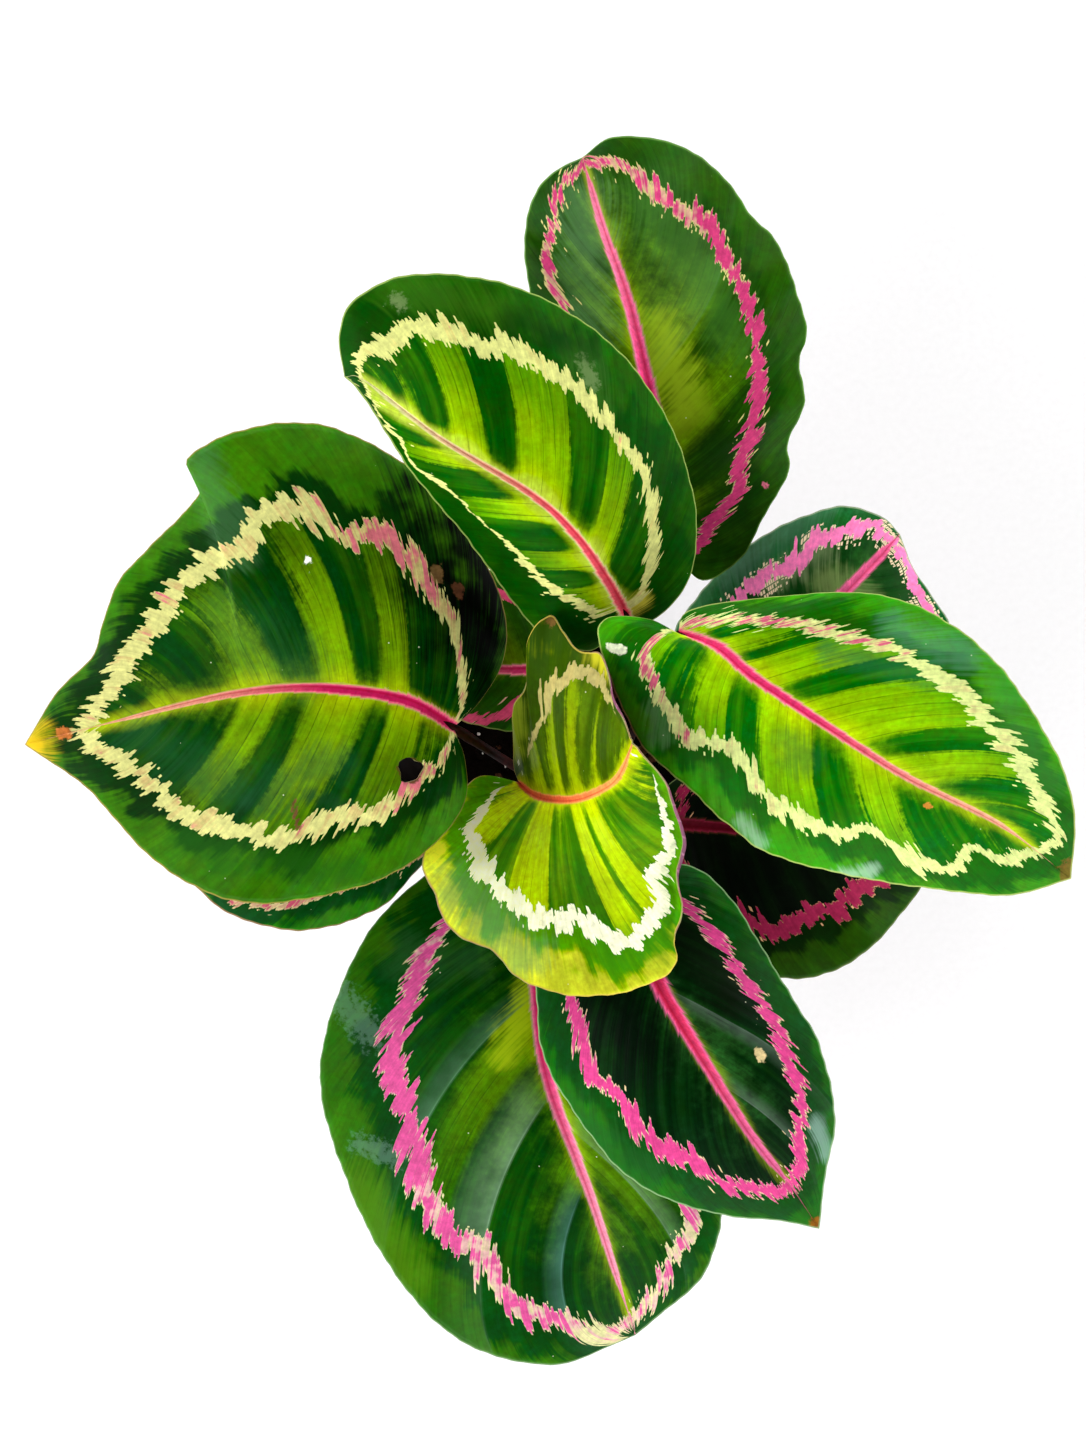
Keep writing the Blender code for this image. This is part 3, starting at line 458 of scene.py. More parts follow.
        midrib=[(-3, 45, 220), (-19, 44, 228), (-31, 44, 230), (-46, 45, 226), (-68, 47, 216)],
        left=[(-8, 30), (-22, 23), (-38, 25), (-55, 33)],
        right=[(-1, 62), (-15, 74), (-33, 79), (-54, 70)],
        ring=[[(-10, 36), (-22, 33), (-26, 30), (-30, 28), (-35, 27), (-42, 27), (-54, 36), (-60, 44)],
            [(-8, 58), (-18, 66), (-32, 70), (-48, 64), (-60, 52)]],
        ringHalf=[[(0, 1.5), (.4, 2.2), (1, 1.8)], [(0, 1.5), (1, 2)]],
        blush=[[(0, .85), (1, .85)], [(0, .85), (1, .85)]],
        stripes=[[(0, .3), (.3, .5), (.5, .1), (.7, .4), (1, .1)],
            [(0, .3), (.3, .1), (.5, .5), (.7, .1), (1, .1)]],
        colours=("#1f4a12", "#5a7a1c", "#3a5a14", "#6a7a24", "#1c4210", "#2f6a18", "#e0a890", "#d88078",
            "#d84a70", "#b8285a", "#d86a80", "#c08a70", "#6a7a3a"),
        patches=[],
    ),
}

sheet = {
    "thickness": 0.5,
    "rows": 150,
    "columns": 36,
    "veinCrowding": 1.6,  # side veins leave the midrib closer together near its base
    "veinSweep": 0.1,
    "aheadShare": 0.02,
    "swellPower": 0.6,
    "liftPower": 1.4,
    "rollRadius": 3.0,
    "rollPower": 0.5,
    "pleatPitch": 8.0,  # the low folds between the stronger side veins
    "pleatHeight": 0.09,
    "pleatStart": 8.0,
    "grooveDepth": 0.5,
    "grooveHalf": 1.7,
    "frillPitch": 9.0,
    "frillHeight": 0.15,
    "wobble": 0.14,
    "wobblePitches": (1.1, 2.7),
    "ringSteps": 6,
    "holeWaves": ((0.12, 3, 1), (0.08, 5, 0)),  # how high, how many and where they start
}
tiny = 1e-9


def smoothCurve(points, places):
    # A smooth curve through the points, at places from 0 to 1 that are spread evenly over its spans
    points = np.asarray(points, float)
    knots = np.vstack([2 * points[0] - points[1], points, 2 * points[-1] - points[-2]])
    spans = len(points) - 1
    along = np.clip(np.asarray(places, float), 0, 1) * spans
    index = np.minimum(along.astype(int), spans - 1)
    t = (along - index)[:, None]
    a, b, c, d = (knots[index + k] for k in range(4))
    return 0.5 * (2 * b + (c - a) * t + (2 * a - 5 * b + 4 * c - d) * t**2 + (3 * b - a - 3 * c + d) * t**3)


def byLength(points, places):
    # The same curve at places that are shares of its length
    dense = smoothCurve(points, np.linspace(0, 1, 16 * len(points)))
    length = np.append(0, np.cumsum(np.linalg.norm(np.diff(dense, axis=0), axis=1)))
    return np.column_stack([np.interp(np.asarray(places) * length[-1], length, row) for row in dense.T])


def readProfile(pairs, places):
    # Values between (place, value) pairs
    return np.interp(places, [pair[0] for pair in pairs], [pair[1] for pair in pairs])


def lengthOf(vectors):
    return np.maximum(np.linalg.norm(vectors, axis=1, keepdims=True), 1e-6)


def halfBlade(leaf, number):
    # One half of a blade as a grid of points, by rows along the margin and columns out from the midrib,
    # with the fields that its markings are drawn by
    midrib = leaf["midrib"]
    place = np.linspace(0, 1, sheet["rows"] + 1)
    ribShare = place**sheet["veinCrowding"]
    ribs = byLength(midrib, ribShare)
    ahead = byLength(midrib, np.minimum(ribShare + sheet["aheadShare"], 1))[:, :2] - ribs[:, :2]
    forward = (ahead / lengthOf(ahead))[:, None, :]
    margin = byLength([midrib[0][:2], *leaf[("left", "right")[number]], midrib[-1][:2]], place)
    marginLength = np.linalg.norm(np.diff(margin, axis=0), axis=1).sum()
    rise = smoothCurve([(0,), *((lift,) for lift in leaf["lift"][number]), (0,)], place)
    across = margin - ribs[:, :2]
    length = lengthOf(across)
    outward = (across / length)[:, None, :]
    place = place[:, None]
    atMargin = place * marginLength
    swell = np.maximum(np.sin(np.pi * place), 0) ** sheet["swellPower"]

    # The margin may turn over: past the flat part each row follows a circle
    rollFrom, rollTurn = leaf.get("roll", (1.0, 0.0))
    rolling = np.clip((place - rollFrom) / (1 - rollFrom + tiny), 0, 1)
    turn = rollTurn * np.maximum(np.sin(np.pi * rolling), 0) ** sheet["rollPower"]
    radius = sheet["rollRadius"]
    flat = np.maximum(length - radius * np.sin(np.minimum(turn, np.pi / 2)), 0)
    total = flat + radius * turn
    v = np.linspace(0, 1, sheet["columns"] + 1)[None, :]
    out = v * total
    run = np.minimum(out, flat)
    bent = (out - run) / radius
    share = run / length
    lay = place - leaf["lean"] * share
    vein = lay * marginLength

    first, second = sheet["wobblePitches"]
    wobble = sheet["wobble"] * v**6 * swell * (np.sin(atMargin / first) + np.sin(atMargin / second + 1))
    reach = run + radius * np.sin(bent) + wobble
    bulge = 4 * share * (1 - share)
    sweep = -sheet["veinSweep"] * place * length * bulge
    plan = ribs[:, None, :2] + outward * reach[..., None] + forward * sweep[..., None]
    height, count, start = leaf["wave"]
    up = ribs[:, 2:] + rise * share**sheet["liftPower"] + leaf["arch"] * bulge * swell
    up += height * share**2 * swell * np.sin(2 * np.pi * (count * place + start))
    up += radius * (1 - np.cos(bent))
    flatness = swell * np.minimum(out / sheet["pleatStart"], 1)
    frill = np.sin(2 * np.pi * atMargin / sheet["frillPitch"] + 2 * number)
    up += sheet["pleatHeight"] * flatness * np.sin(2 * np.pi * vein / sheet["pleatPitch"])
    up += sheet["frillHeight"] * swell * v**5 * frill
    up -= sheet["grooveDepth"] * swell * np.exp(-(out / sheet["grooveHalf"])**2)
    fields = {
        "vein": vein,
        "out": (-out, out)[number],
        "along": place + 0 * v,
        "rim": total - out,
        "tone": readProfile(leaf["stripes"][number], lay),
        "lay": lay,
    }
    return np.concatenate([plan, up[..., None]], axis=2), fields


def toLine(points, start, end):
    # For each point, the share of the way from start to end where it is nearest, and its distance there
    step = np.subtract(end, start).astype(float)
    share = np.clip(((points - start) @ step) / max(step @ step, tiny), 0, 1)
    return share, np.linalg.norm(points - start - share[:, None] * step, axis=1)


def ringFields(leaf, points):
    # The signed distance from the ring's middle line, negative inside, with its half width and blush
    arms = [byLength(arm, np.linspace(0, 1, sheet["ringSteps"] * len(arm))) for arm in leaf["ring"]]
    line = np.vstack([arms[0], arms[1][::-1]])
    widths, blushes = ([readProfile(leaf[name][n], np.linspace(0, 1, len(arms[n]))) for n in (0, 1)]
                       for name in ("ringHalf", "blush"))
    painted = np.column_stack([np.append(pair[0], pair[1][::-1]) for pair in (widths, blushes)])
    nearest = np.full(len(points), np.inf)
    inside = np.zeros(len(points), bool)
    found = np.zeros((len(points), 2))
    for a, b, here, there in zip(line, np.roll(line, -1, axis=0), painted, np.roll(painted, -1, axis=0)):
        share, distance = toLine(points, a, b)
        closer = distance < nearest
        nearest = np.where(closer, distance, nearest)
        found = np.where(closer[:, None], here + share[:, None] * (there - here), found)
        crosses = (a[1] > points[:, 1]) != (b[1] > points[:, 1])
        step = b - a
        rise = step[1] if abs(step[1]) > tiny else tiny
        inside ^= crosses & (points[:, 0] < a[0] + step[0] * (points[:, 1] - a[1]) / rise)
    return np.where(inside, -nearest, nearest), found[:, 0], found[:, 1]


def eatHole(points, faces, hole):
    # Takes out the faces inside an uneven outline, and draws the faces it crosses back to that outline
    x, y, radius = hole
    offset = points[:, :2] - (x, y)
    distance = np.linalg.norm(offset, axis=1)
    angle = np.arctan2(offset[:, 1], offset[:, 0])
    waves = [high * np.sin(count * angle + start) for high, count, start in sheet["holeWaves"]]
    outline = radius * (1 + sum(waves))
    inside = distance < outline
    faces = [face for face in faces if not all(inside[list(face)])]
    pushed = points.copy()
    pushed[inside, :2] = (x, y) + offset[inside] * (outline / np.maximum(distance, 1e-6))[inside, None]
    return pushed, faces


def bladeMesh(name, leaf):
    # Both halves as one sheet that shares its midrib
    halves = [halfBlade(leaf, number) for number in (0, 1)]
    rows, columns = sheet["rows"], sheet["columns"]
    points = [halves[0][0][:, 0]]
    fields = {key: [value[:, 0]] for key, value in halves[0][1].items()}
    start = rows + 1
    faces = []
    for number, (grid, values) in enumerate(halves):
        points.append(grid[1:-1, 1:].reshape(-1, 3))
        for key, value in values.items():
            fields[key].append(value[1:-1, 1:].ravel())
        index = np.zeros((rows + 1, columns + 1), int) + np.arange(rows + 1)[:, None]
        index[1:-1, 1:] = start + np.arange((rows - 1) * columns).reshape(rows - 1, columns)
        start += (rows - 1) * columns
        corners = [index[:-1, :-1], index[1:, :-1], index[1:, 1:], index[:-1, 1:]]
        quads = np.stack(corners[::-1] if number else corners, axis=-1).reshape(-1, 4)
        faces += [tuple(dict.fromkeys(quad.tolist())) for quad in quads]
    faces = [face for face in faces if len(face) > 2]
    points = np.vstack(points)
    fields = {key: np.concatenate(value) for key, value in fields.items()}
    fields["gap"], fields["ringHalf"], fields["blush"] = ringFields(leaf, points[:, :2])
    for number, (start, end, radius, *_) in enumerate(leaf["patches"]):
        # 1 on the line from start to end, falling softly to 0 at the radius
        fields["patch%d" % number] = np.clip(1 - toLine(points[:, :2], start, end)[1] / radius, 0, 1)
    for hole in leaf.get("eaten", []):
        points, faces = eatHole(points, faces, hole)
    used = np.unique(np.concatenate([np.array(face) for face in faces]))
    renumber = np.full(len(points), -1)
    renumber[used] = np.arange(len(used))
    mesh = newMesh(name, points[used], [tuple(renumber[list(face)].tolist()) for face in faces])
    for key, value in fields.items():
        mesh.attributes.new(key, "FLOAT", "POINT").data.foreach_set("value", value[used].astype(np.float32))
    mesh.shade_smooth()
    return mesh


marking = {
    "strokes": ((3.2, 0.8), (0.95, 0.5)),  # width at the margin and weight of broad and of fine strokes
    "strokeShift": 0.85,
    "streaks": ((1.6, 26.0), (7.0, 60.0), (1.3, 9.0)),  # width and length of streaks, bands and threads
    "bend": 4.0,
    "veinPitch": 6.0,  # between the fine side veins, measured at the margin
    "clouds": ((10.0, 3, 0.5), (2.2, 6, 0.65), (22.0, 4, 0.5), (6.0, 2, 0.5)),  # size, detail and roughness
    "fleckPitch": 1.1,
    "fleckLength": 1.6,
    "fringe": 1.0,
    "toothPitch": 5.0,
    "glowReach": 3.2,
    "dustPitch": 5.0,
    "dustSize": 0.3,
    "dust": "#dfe6c4",
    # the painted shade on one side of the midrib
    "ribShade": "#e08098",
    "depth": 0.82,  # the tissue and the paint are this much darker than their hex values
    "softPatch": (1.3, 0, 1),  # the weight of its noise, and where its edge starts and ends
    # the speckled film serves grey scars and painted sheen
    "patches": {"over": (1.6, 0.25, 0.5), "bloom": (2.6, 0.25, 0.8)},
    "hue": 0.456,
    "hueSpread": 0.04,
    "saturation": 1.14,
    "gloss": 0.045,
}


def bladeTop(name, leaf):
    # A living leaf's upper side: green tissue under a thin clear wax, so it is glossy in low light, and
    # its paint follows the side veins in short blunt strokes
    made, shader, add, place = newSurface(name, 0.36, 1.42, leaf.get("gloss", marking["gloss"]))
    colours = dict(zip(colourNames, leaf["colours"]))
    shadedHalf = dict(zip(colourNames, leaf.get("leftColours", ())))
    vein, out, along, rim, tone, lay, gap, ringHalf, blush = (
        add("Attribute", attribute_name=key).outputs["Fac"]
        for key in ("vein", "out", "along", "rim", "tone", "lay", "gap", "ringHalf", "blush"))
    distance = add("ABSOLUTE", out)
    leftHalf = add("LESS_THAN", out, 0)
    rightHalf = add("SUBTRACT", 1, leftHalf)
    bank = add("MULTIPLY", leftHalf, 1000)  # gives the left half random values of its own

    def tissue(key):
        # A leaf that is rolled over has darker copies of its colours on its left half: painted shade
        return add("Mix", leftHalf, colours[key], shadedHalf[key]) if key in shadedHalf else colours[key]

    # Noise: long streaks along the side veins, and clouds of several sizes
    streaks = []
    for width, length in marking["streaks"]:
        across = add("MULTIPLY", add("ADD", vein, bank), 1 / width)
        where = add("CombineXYZ", across, add("MULTIPLY", distance, 1 / length))
        streaks.append(add("TexNoise 2D", Vector=where, Scale=1, Detail=3))
    streak, broad, thread = streaks
    cloud, speckle, mottle, blotch = (
        add("TexNoise", Vector=place, Scale=1 / (size * mm), Detail=detail, Roughness=rough)
        for size, detail, rough in marking["clouds"])

    # Strokes, broad ones and fine ones: each has its own chance for every edge that it crosses
    bend = add("MULTIPLY_ADD", broad, marking["bend"], vein)
    reach = dict.fromkeys(("inner", "outer", "tint", "border", "stripe", "glow"), 0.0)
    shift = 0.0
    for pitch, weight in marking["strokes"]:
        scaled = add("DIVIDE", bend, pitch * leaf["stroke"])
        cell = add("ADD", add("FLOOR", scaled), bank)
        blunt = add("MapRange", add("PINGPONG", scaled, 0.5), 0, 0.14, 0.35 * weight, weight)
        for start, keys in ((0.0, ("inner", "outer", "tint")), (0.37, ("border", "stripe", "glow"))):
            chance = add("TexWhiteNoise 1D", W=add("ADD", cell, start))
            apart = add("SeparateColor", chance.outputs["Color"])
            for key, output in zip(keys, apart.outputs):
                reach[key] = add("MULTIPLY_ADD", output, blunt, reach[key])
        shift = add("MULTIPLY_ADD", chance, weight, shift)

    # The ring's own edges, in and out from its wandering middle
    wander = add("MULTIPLY", add("SUBTRACT", shift, 0.67), ringHalf)
    middle = add("MULTIPLY_ADD", wander, marking["strokeShift"], gap)
    inner, outer = (add("MULTIPLY_ADD", middle, sign, add("MULTIPLY", add("ADD", reach[key], 0.42), ringHalf))
                    for key, sign in (("inner", 1), ("outer", -1)))
    inset = add("MINIMUM", inner, outer)
    ring = add("MapRange SMOOTHSTEP", inset, 0.15, 0.4, 0, 1)

    # Inside the ring: pale stripes between dark wedges that are narrow by the midrib and wide at the ring
    outTo = add("DIVIDE", distance, add("SUBTRACT", distance, gap))
    crisp = leaf["crisp"]
    wedge = add("MapRange", outTo, 0.03, 0.32, 0.18 + 0.26 * crisp, 0)
    wedge = add("ADD", wedge, add("MapRange", outTo, 0.35, 1, 0, -0.3))
    cut = add("MapRange", outTo, 0.2, 0.75, 0.05 * crisp, 0.4 * crisp)
    loose = add("ADD", add("MULTIPLY_ADD", reach["stripe"], cut, tone), wedge)
    for noise, weight in ((streak, cut), (cloud, 0.9 - 0.65 * crisp), (speckle, 0.35)):
        loose = add("MULTIPLY_ADD", add("SUBTRACT", noise, 0.5), weight, loose)
    spread = add("MapRange", outTo, 0.1, 0.6, 0.36, 0.4 - 0.32 * crisp)
    loose = add("DIVIDE", add("SUBTRACT", loose, 0.38 + 0.12 * crisp), spread)
    pale = add("MapRange SMOOTHSTEP", loose, -1, 1, 0, 1)
    nearRing = add("MapRange SMOOTHSTEP", outTo, 0.35, 1, 0, 1)
    dulled = add("MULTIPLY_ADD", add("SUBTRACT", streak, 0.5), 1.1, nearRing)
    lime = add("Mix", dulled, tissue("light"), tissue("olive"))
    between = add("Mix", add("MapRange", broad, 0.45, 0.7, 0, 0.25), tissue("dark"), tissue("olive"))
    inside = add("Mix", pale, between, lime)
    spread = 0.1
    for source, weight in ((tone, 2), (reach["glow"], 0.5 - 0.4 * crisp), (cloud, 1)):
        spread = add("MULTIPLY_ADD", source, weight, spread)
    spread = add("MULTIPLY", spread, marking["glowReach"] * leaf["glow"])
    glow = add("MapRange SMOOTHSTEP", add("DIVIDE", distance, spread), 0, 1, 0.9, 0)
    inside = add("Mix", glow, inside, tissue("glow"))

    # Outside the ring: a dark border beside it, stepped into the margin's brighter green
    wide = leaf["border"]
    border = gap
    for source, weight in ((reach["border"], -0.3), (cloud, -1.2), (broad, -0.8), (tone, 0.5)):
        border = add("MULTIPLY_ADD", source, weight * wide, border)
    far = add("MapRange SMOOTHSTEP", border, -0.35 * wide, 0.1 * wide, 0, 1)
    beyond = add("MapRange", gap, -0.3, 0.3, 0, 1)
    green = add("Mix", beyond, inside, add("Mix", far, tissue("outNear"), tissue("outFar")))

    # Fine side veins, plain to see in the pale stripes alone, and slow mottling
    line = add("PINGPONG", add("DIVIDE", bend, marking["veinPitch"]), 0.5)
    groove = add("MapRange SMOOTHSTEP", line, 0, 0.06, 1, 0)
    groove = add("MULTIPLY", groove, add("MapRange", streak, 0.35, 0.6, 0.25, 1))
    seen = add("MapRange", add("SUBTRACT", pale, beyond), 0, 1, 0.15, 0.55)
    veins = add("MULTIPLY_ADD", groove, add("MULTIPLY", seen, -1), 1)
    depth = marking["depth"]
    slow = add("MULTIPLY", add("MapRange", mottle, 0.3, 0.7, 0.78 * depth, 1.22 * depth),
               add("MapRange", broad, 0.35, 0.65, 0.88, 1.12))
    # fresh is painted light: it brightens the right half of the blade near its base
    fresh = add("MULTIPLY_ADD", add("MapRange", along, 0.25, 0.6, leaf.get("fresh", 0), 0), rightHalf, 1)
    weave = add("MapRange", thread, 0.3, 0.7, 0.9, 1.1)
    weave = add("MULTIPLY", weave, add("MapRange", speckle, 0.3, 0.7, 0.78, 1.22))
    shade = add("MULTIPLY", add("MULTIPLY", veins, add("MULTIPLY", slow, fresh)), weave)
    turn = add("MULTIPLY_ADD", add("ADD", cloud, speckle), marking["hueSpread"], marking["hue"])
    green = add("Mix MULTIPLY", 1, green, shade)
    green = add("HueSaturation", Hue=turn, Saturation=marking["saturation"], Color=green)

    # Painted sheen: panels between two side veins that look as if they catch the light; one edge is sharp,
    # the other fades
    patchy = add("MapRange", cloud, 0.3, 0.6, 0.5, 1)
    patchy = add("MULTIPLY", patchy, add("MapRange", outTo, 0.04, 0.25, 0, 1))
    patchy = add("MULTIPLY", patchy, add("MapRange", gap, -1, 1, 1, 0.15))
    for half, edge, width, colour, strength in leaf.get("panels", []):
        shown = add("MapRange", lay, edge - width, edge, 0, strength)
        shown = add("MULTIPLY", shown, add("LESS_THAN" if width > 0 else "GREATER_THAN", lay, edge))
        seam = add("ABSOLUTE", add("SUBTRACT", lay, edge))
        shown = add("ADD", shown, add("MapRange", seam, 0.001, 0.004, 0.6 * strength, 0))
        shown = add("MULTIPLY", add("MULTIPLY", shown, (leftHalf, rightHalf)[half]), patchy)
        green = add("Mix", shown, green, colour)

    # Patches, among them painted sheen, highlights, shade and shadow: those over the paint too are kept for
    # later
    over = []
    mixed = add("SUBTRACT", add("ADD", cloud, streak), 0.5)
    for number, (_, _, _, colour, strength, *kind) in enumerate(leaf["patches"]):
        mask = add("Attribute", attribute_name="patch%d" % number).outputs["Fac"]
        kind = "".join(kind)
        weight, low, high = marking["patches"].get(kind, marking["softPatch"])
        noise = speckle if kind in marking["patches"] else mixed
        uneven = add("MULTIPLY_ADD", add("SUBTRACT", noise, 0.5), weight, mask)
        share = add("MapRange SMOOTHSTEP", uneven, low, high, 0, strength)
        share = add("MULTIPLY", share, add("MapRange", mask, 0, 0.3, 0, 1))
        if kind == "over":
            over.append((share, colour))
        else:
            green = add("Mix MULTIPLY" if kind == "MULTIPLY" else "Mix", share, green, colour)

    # Cream flecks that lie off the ring along the same strokes
    level = add("DIVIDE", gap, marking["fleckLength"])
    scaled = add("DIVIDE", bend, marking["fleckPitch"])
    cell = add("ADD", add("FLOOR", scaled), bank)
    chance = add("TexWhiteNoise 2D", Vector=add("CombineXYZ", cell, add("FLOOR", level)))
    near = add("MapRange", gap, -7, -2.5, 0, 1)
    near = add("MULTIPLY", near, add("MINIMUM", near, add("MapRange", gap, 2.5, 5, 0.25, 0)))
    near = add("MULTIPLY", near, add("MapRange", cloud, 0.4, 0.6, 0, 4 * leaf["flecks"]))
    fleck = add("LESS_THAN", chance, near)
    for run, edge, most in ((scaled, 0.08, 0.9), (level, 0.06, 1)):
        fleck = add("MULTIPLY", fleck, add("MapRange", add("PINGPONG", run, 0.5), edge, 0.2, 0, most))
    green = add("Mix", fleck, green, colours["ringPale"])

    # The ring's paint: pink blotches in cream, paler at its edges
    fringe = add("MapRange", inset, 0.4, marking["fringe"], leaf["fringe"], 0)
    pinkness = add("ADD", add("MapRange", blotch, 0.35, 0.65, -0.4, -0.03), blush)
    pinkness = add("SUBTRACT", add("MULTIPLY_ADD", reach["tint"], 0.6, pinkness), fringe)
    tan = add("MapRange SMOOTHSTEP", pinkness, 0.05, 0.4, 0, 0.8)
    pink = add("MapRange SMOOTHSTEP", pinkness, 0.4, 0.6, 0, 1)
    paint = add("Mix", pink, add("Mix", tan, tissue("ringPale"), tissue("ringTan")), tissue("ringPink"))
    wearAndPaintedLight = add("MULTIPLY", weave, add("MapRange", mottle, 0.3, 0.7, 0.9 * depth, 1.06 * depth))
    # The ring's paint takes the same painted light, at most 1.5 times
    wearAndPaintedLight = add("MULTIPLY", wearAndPaintedLight, add("MINIMUM", fresh, 1.5))
    painted = add("Mix", ring, green, add("Mix MULTIPLY", 1, paint, wearAndPaintedLight))

    # The midrib, with small teeth where side veins leave it, faded out before the ring's tip
    base, tipHalf, ribEnd = leaf["ribHalf"]
    half = add("MapRange", along, 0.1, ribEnd, base, tipHalf)
    short = add("MapRange SMOOTHSTEP", along, ribEnd - 0.06, ribEnd + 0.04, 1, 0.15)
    teeth = add("DIVIDE", bend, marking["toothPitch"])
    tooth = add("TexWhiteNoise 1D", W=add("ADD", add("FLOOR", teeth), bank))
    ragged = add("MULTIPLY_ADD", add("MULTIPLY", tooth, add("FRACT", teeth)), 0.3, 0.88)
    half = add("MULTIPLY", add("MULTIPLY", half, short), ragged)
    inRib = add("DIVIDE", distance, half)
    painted = add("Mix", add("MapRange", inRib, 1, 1.35, 0.6, 0), painted, colours["ribTip"])
    core = add("MapRange SMOOTHSTEP", inRib, 0.55, 0.85, 0, 1)
    fade = add("MapRange SMOOTHSTEP", along, 0.5 * ribEnd, ribEnd, 0, 1)
    ribColour = add("Mix", fade, add("Mix", core, colours["rib"], colours["ribEdge"]), colours["ribTip"])
    # Painted shade: a band on the midrib's right side is darkened like a flank turned from the light
    shadedSide = add("ABSOLUTE", add("SUBTRACT", add("DIVIDE", out, half), 0.3))
    ribColour = add("Mix MULTIPLY", add("MapRange", shadedSide, 0, 0.3, 0.7, 0), ribColour, marking["ribShade"])
    ribColour = add("Mix MULTIPLY", 1, ribColour, weave)
    painted = add("Mix", add("MapRange SMOOTHSTEP", inRib, 0.92, 1.04, 1, 0), painted, ribColour)

    # Scars, dry tips, the brown edges of holes and one patch of painted shade lie over everything
    rough = add("MapRange", mottle, 0.3, 0.7, 0.3, 0.42)
    overGrain = add("MapRange", speckle, 0.35, 0.65, 0.7, 1.25)
    for share, colour in over:
        painted = add("Mix", share, painted, add("Mix MULTIPLY", 1, colour, overGrain))
        rough = add("MULTIPLY_ADD", share, 0.2, rough)

    # Specks of dust and lime scale, drawn a little larger than the real ones so that they show
    specks = add("TexVoronoi", Vector=place, Scale=1 / (marking["dustPitch"] * mm))
    chosen = add("SeparateColor", specks.outputs["Color"])
    size = add("MapRange", chosen, 0.6, 1, 0, marking["dustSize"] / marking["dustPitch"])
    onSpeck = add("MapRange", add("SUBTRACT", size, specks), 0, 0.012, 0, 0.6)
    painted = add("Mix", onSpeck, painted, marking["dust"])

    # The thin dry line along the margin
    painted = add("Mix", add("MapRange SMOOTHSTEP", rim, 0.3, 0.6, 0.8, 0), painted, colours["line"])
    relief = add("MULTIPLY_ADD", thread, 0.6, add("MULTIPLY", groove, -1))
    bump = add("Bump", Strength=0.35, Distance=0.12 * mm, Height=relief)
    wire(shader, {"Base Color": painted, "Roughness": rough, "Normal": bump})
    return made


def bladeUnderside():
    # The underside is dull wine purple, paler along the veins
    made, shader, add, place = newSurface("purple_leaf_underside", 0.55, 1.42)
    vein = add("Attribute", attribute_name="vein").outputs["Fac"]
    line = add("PINGPONG", add("DIVIDE", vein, marking["veinPitch"]), 0.5)
    veins = add("MapRange SMOOTHSTEP", line, 0, 0.12, 0, 1)
    _, purple = mottled(add, place, 16, 4, 0.3, 0.7, "#5a2742", "#7a3a58")
    bump = add("Bump", Strength=0.6, Distance=0.2 * mm, Height=veins, invert=True)
    wire(shader, {"Base Color": add("Mix", veins, "#8f5a72", purple), "Normal": bump})
    return made


def bladeRim():
    # The cut edge of the blade is a dry, pinkish line
    made, shader, add, place = newSurface("dry_leaf_edge", 0.6, 1.42)
    _, colour = mottled(add, place, 5, 2, 0.35, 0.65, "#8a6248", "#7f8a4a")
    wire(shader, {"Base Color": colour})
    return made


underside, rimSurface = bladeUnderside(), bladeRim()
for leafName, leaf in leaves.items():
    mesh = bladeMesh(leafName + "_blade", leaf)
    top = bladeTop(leafName + "_painted_top", leaf)
    blade = addPiece(leafName + "_blade", mesh, [top, underside, rimSurface], leafName)
    solid = blade.modifiers.new("thickness", "SOLIDIFY")
    solid.thickness = sheet["thickness"] * mm
    solid.offset = 0.0
    solid.material_offset = 1
    solid.material_offset_rim = 2
print("blades made")


def ringMesh(name, rings, poles, flipped=False):
    # A closed body of rings of points with a pole at each end
    count, sides = rings.shape[:2]
    faces = []
    for k in range(sides):
        j = (k + 1) % sides
        a, b = (k, j) if flipped else (j, k)
        faces.append((a, b, count * sides))
        faces.append(((count - 1) * sides + b, (count - 1) * sides + a, count * sides + 1))
        for i in range(count - 1):
            low, high = i * sides, (i + 1) * sides
            corners = (low + j, high + j, high + k)
            faces.append((low + k, *(corners[::-1] if flipped else corners)))
    return newMesh(name, np.vstack([rings.reshape(-1, 3), poles]), faces)


# The stalks, each with a swollen joint just under its blade, and the midrib that goes on beneath it

stalk = {
    "foot": 96.0,
    "straightTo": 109.0,
    "footRadius": 2.6,
    "radius": 1.9,
    "topRadius": 1.5,
    "sheathEnd": 0.35,
    "jointSwell": 0.35,
    "jointPlace": 0.93,
    "jointHalf": 0.05,
    "ribTipRadius": 0.5,
    "ribShares": (0.03, 0.93),
    "ribSink": 0.1,
    "steps": 40,
    "ribSteps": 30,
    "sides": 16,
    "green": (105.0, 160.0),  # heights between which the green at the foot fades
}


def stalkRoute(leaf, count):
    # From its foot in the soil, straight up, then over to the blade's base
    root = np.array([*leaf["root"], stalk["straightTo"]], float)
    base = np.array(leaf["midrib"][0], float)
    rise = base[2] - root[2]
    lean = (base - root) * (1, 1, 0)
    lean /= np.linalg.norm(lean)
    aboveRoot = root + (0, 0, 0.45 * rise)
    belowBase = base - 0.35 * rise * (0.45 * lean + (0, 0, 1))
    t = np.linspace(0, 1, count)[:, None]
    s = 1 - t
    bend = s**3 * root + 3 * s**2 * t * aboveRoot + 3 * s * t**2 * belowBase + t**3 * base
    return np.vstack([[[*leaf["root"], stalk["foot"]]], bend])


def underNormal(points):
    # Square to the line through the points, and as near to upward as that allows
    forward = np.gradient(points, axis=0)
    forward /= lengthOf(forward)
    upward = (0, 0, 1) - forward * forward[:, 2:]
    return upward / lengthOf(upward)


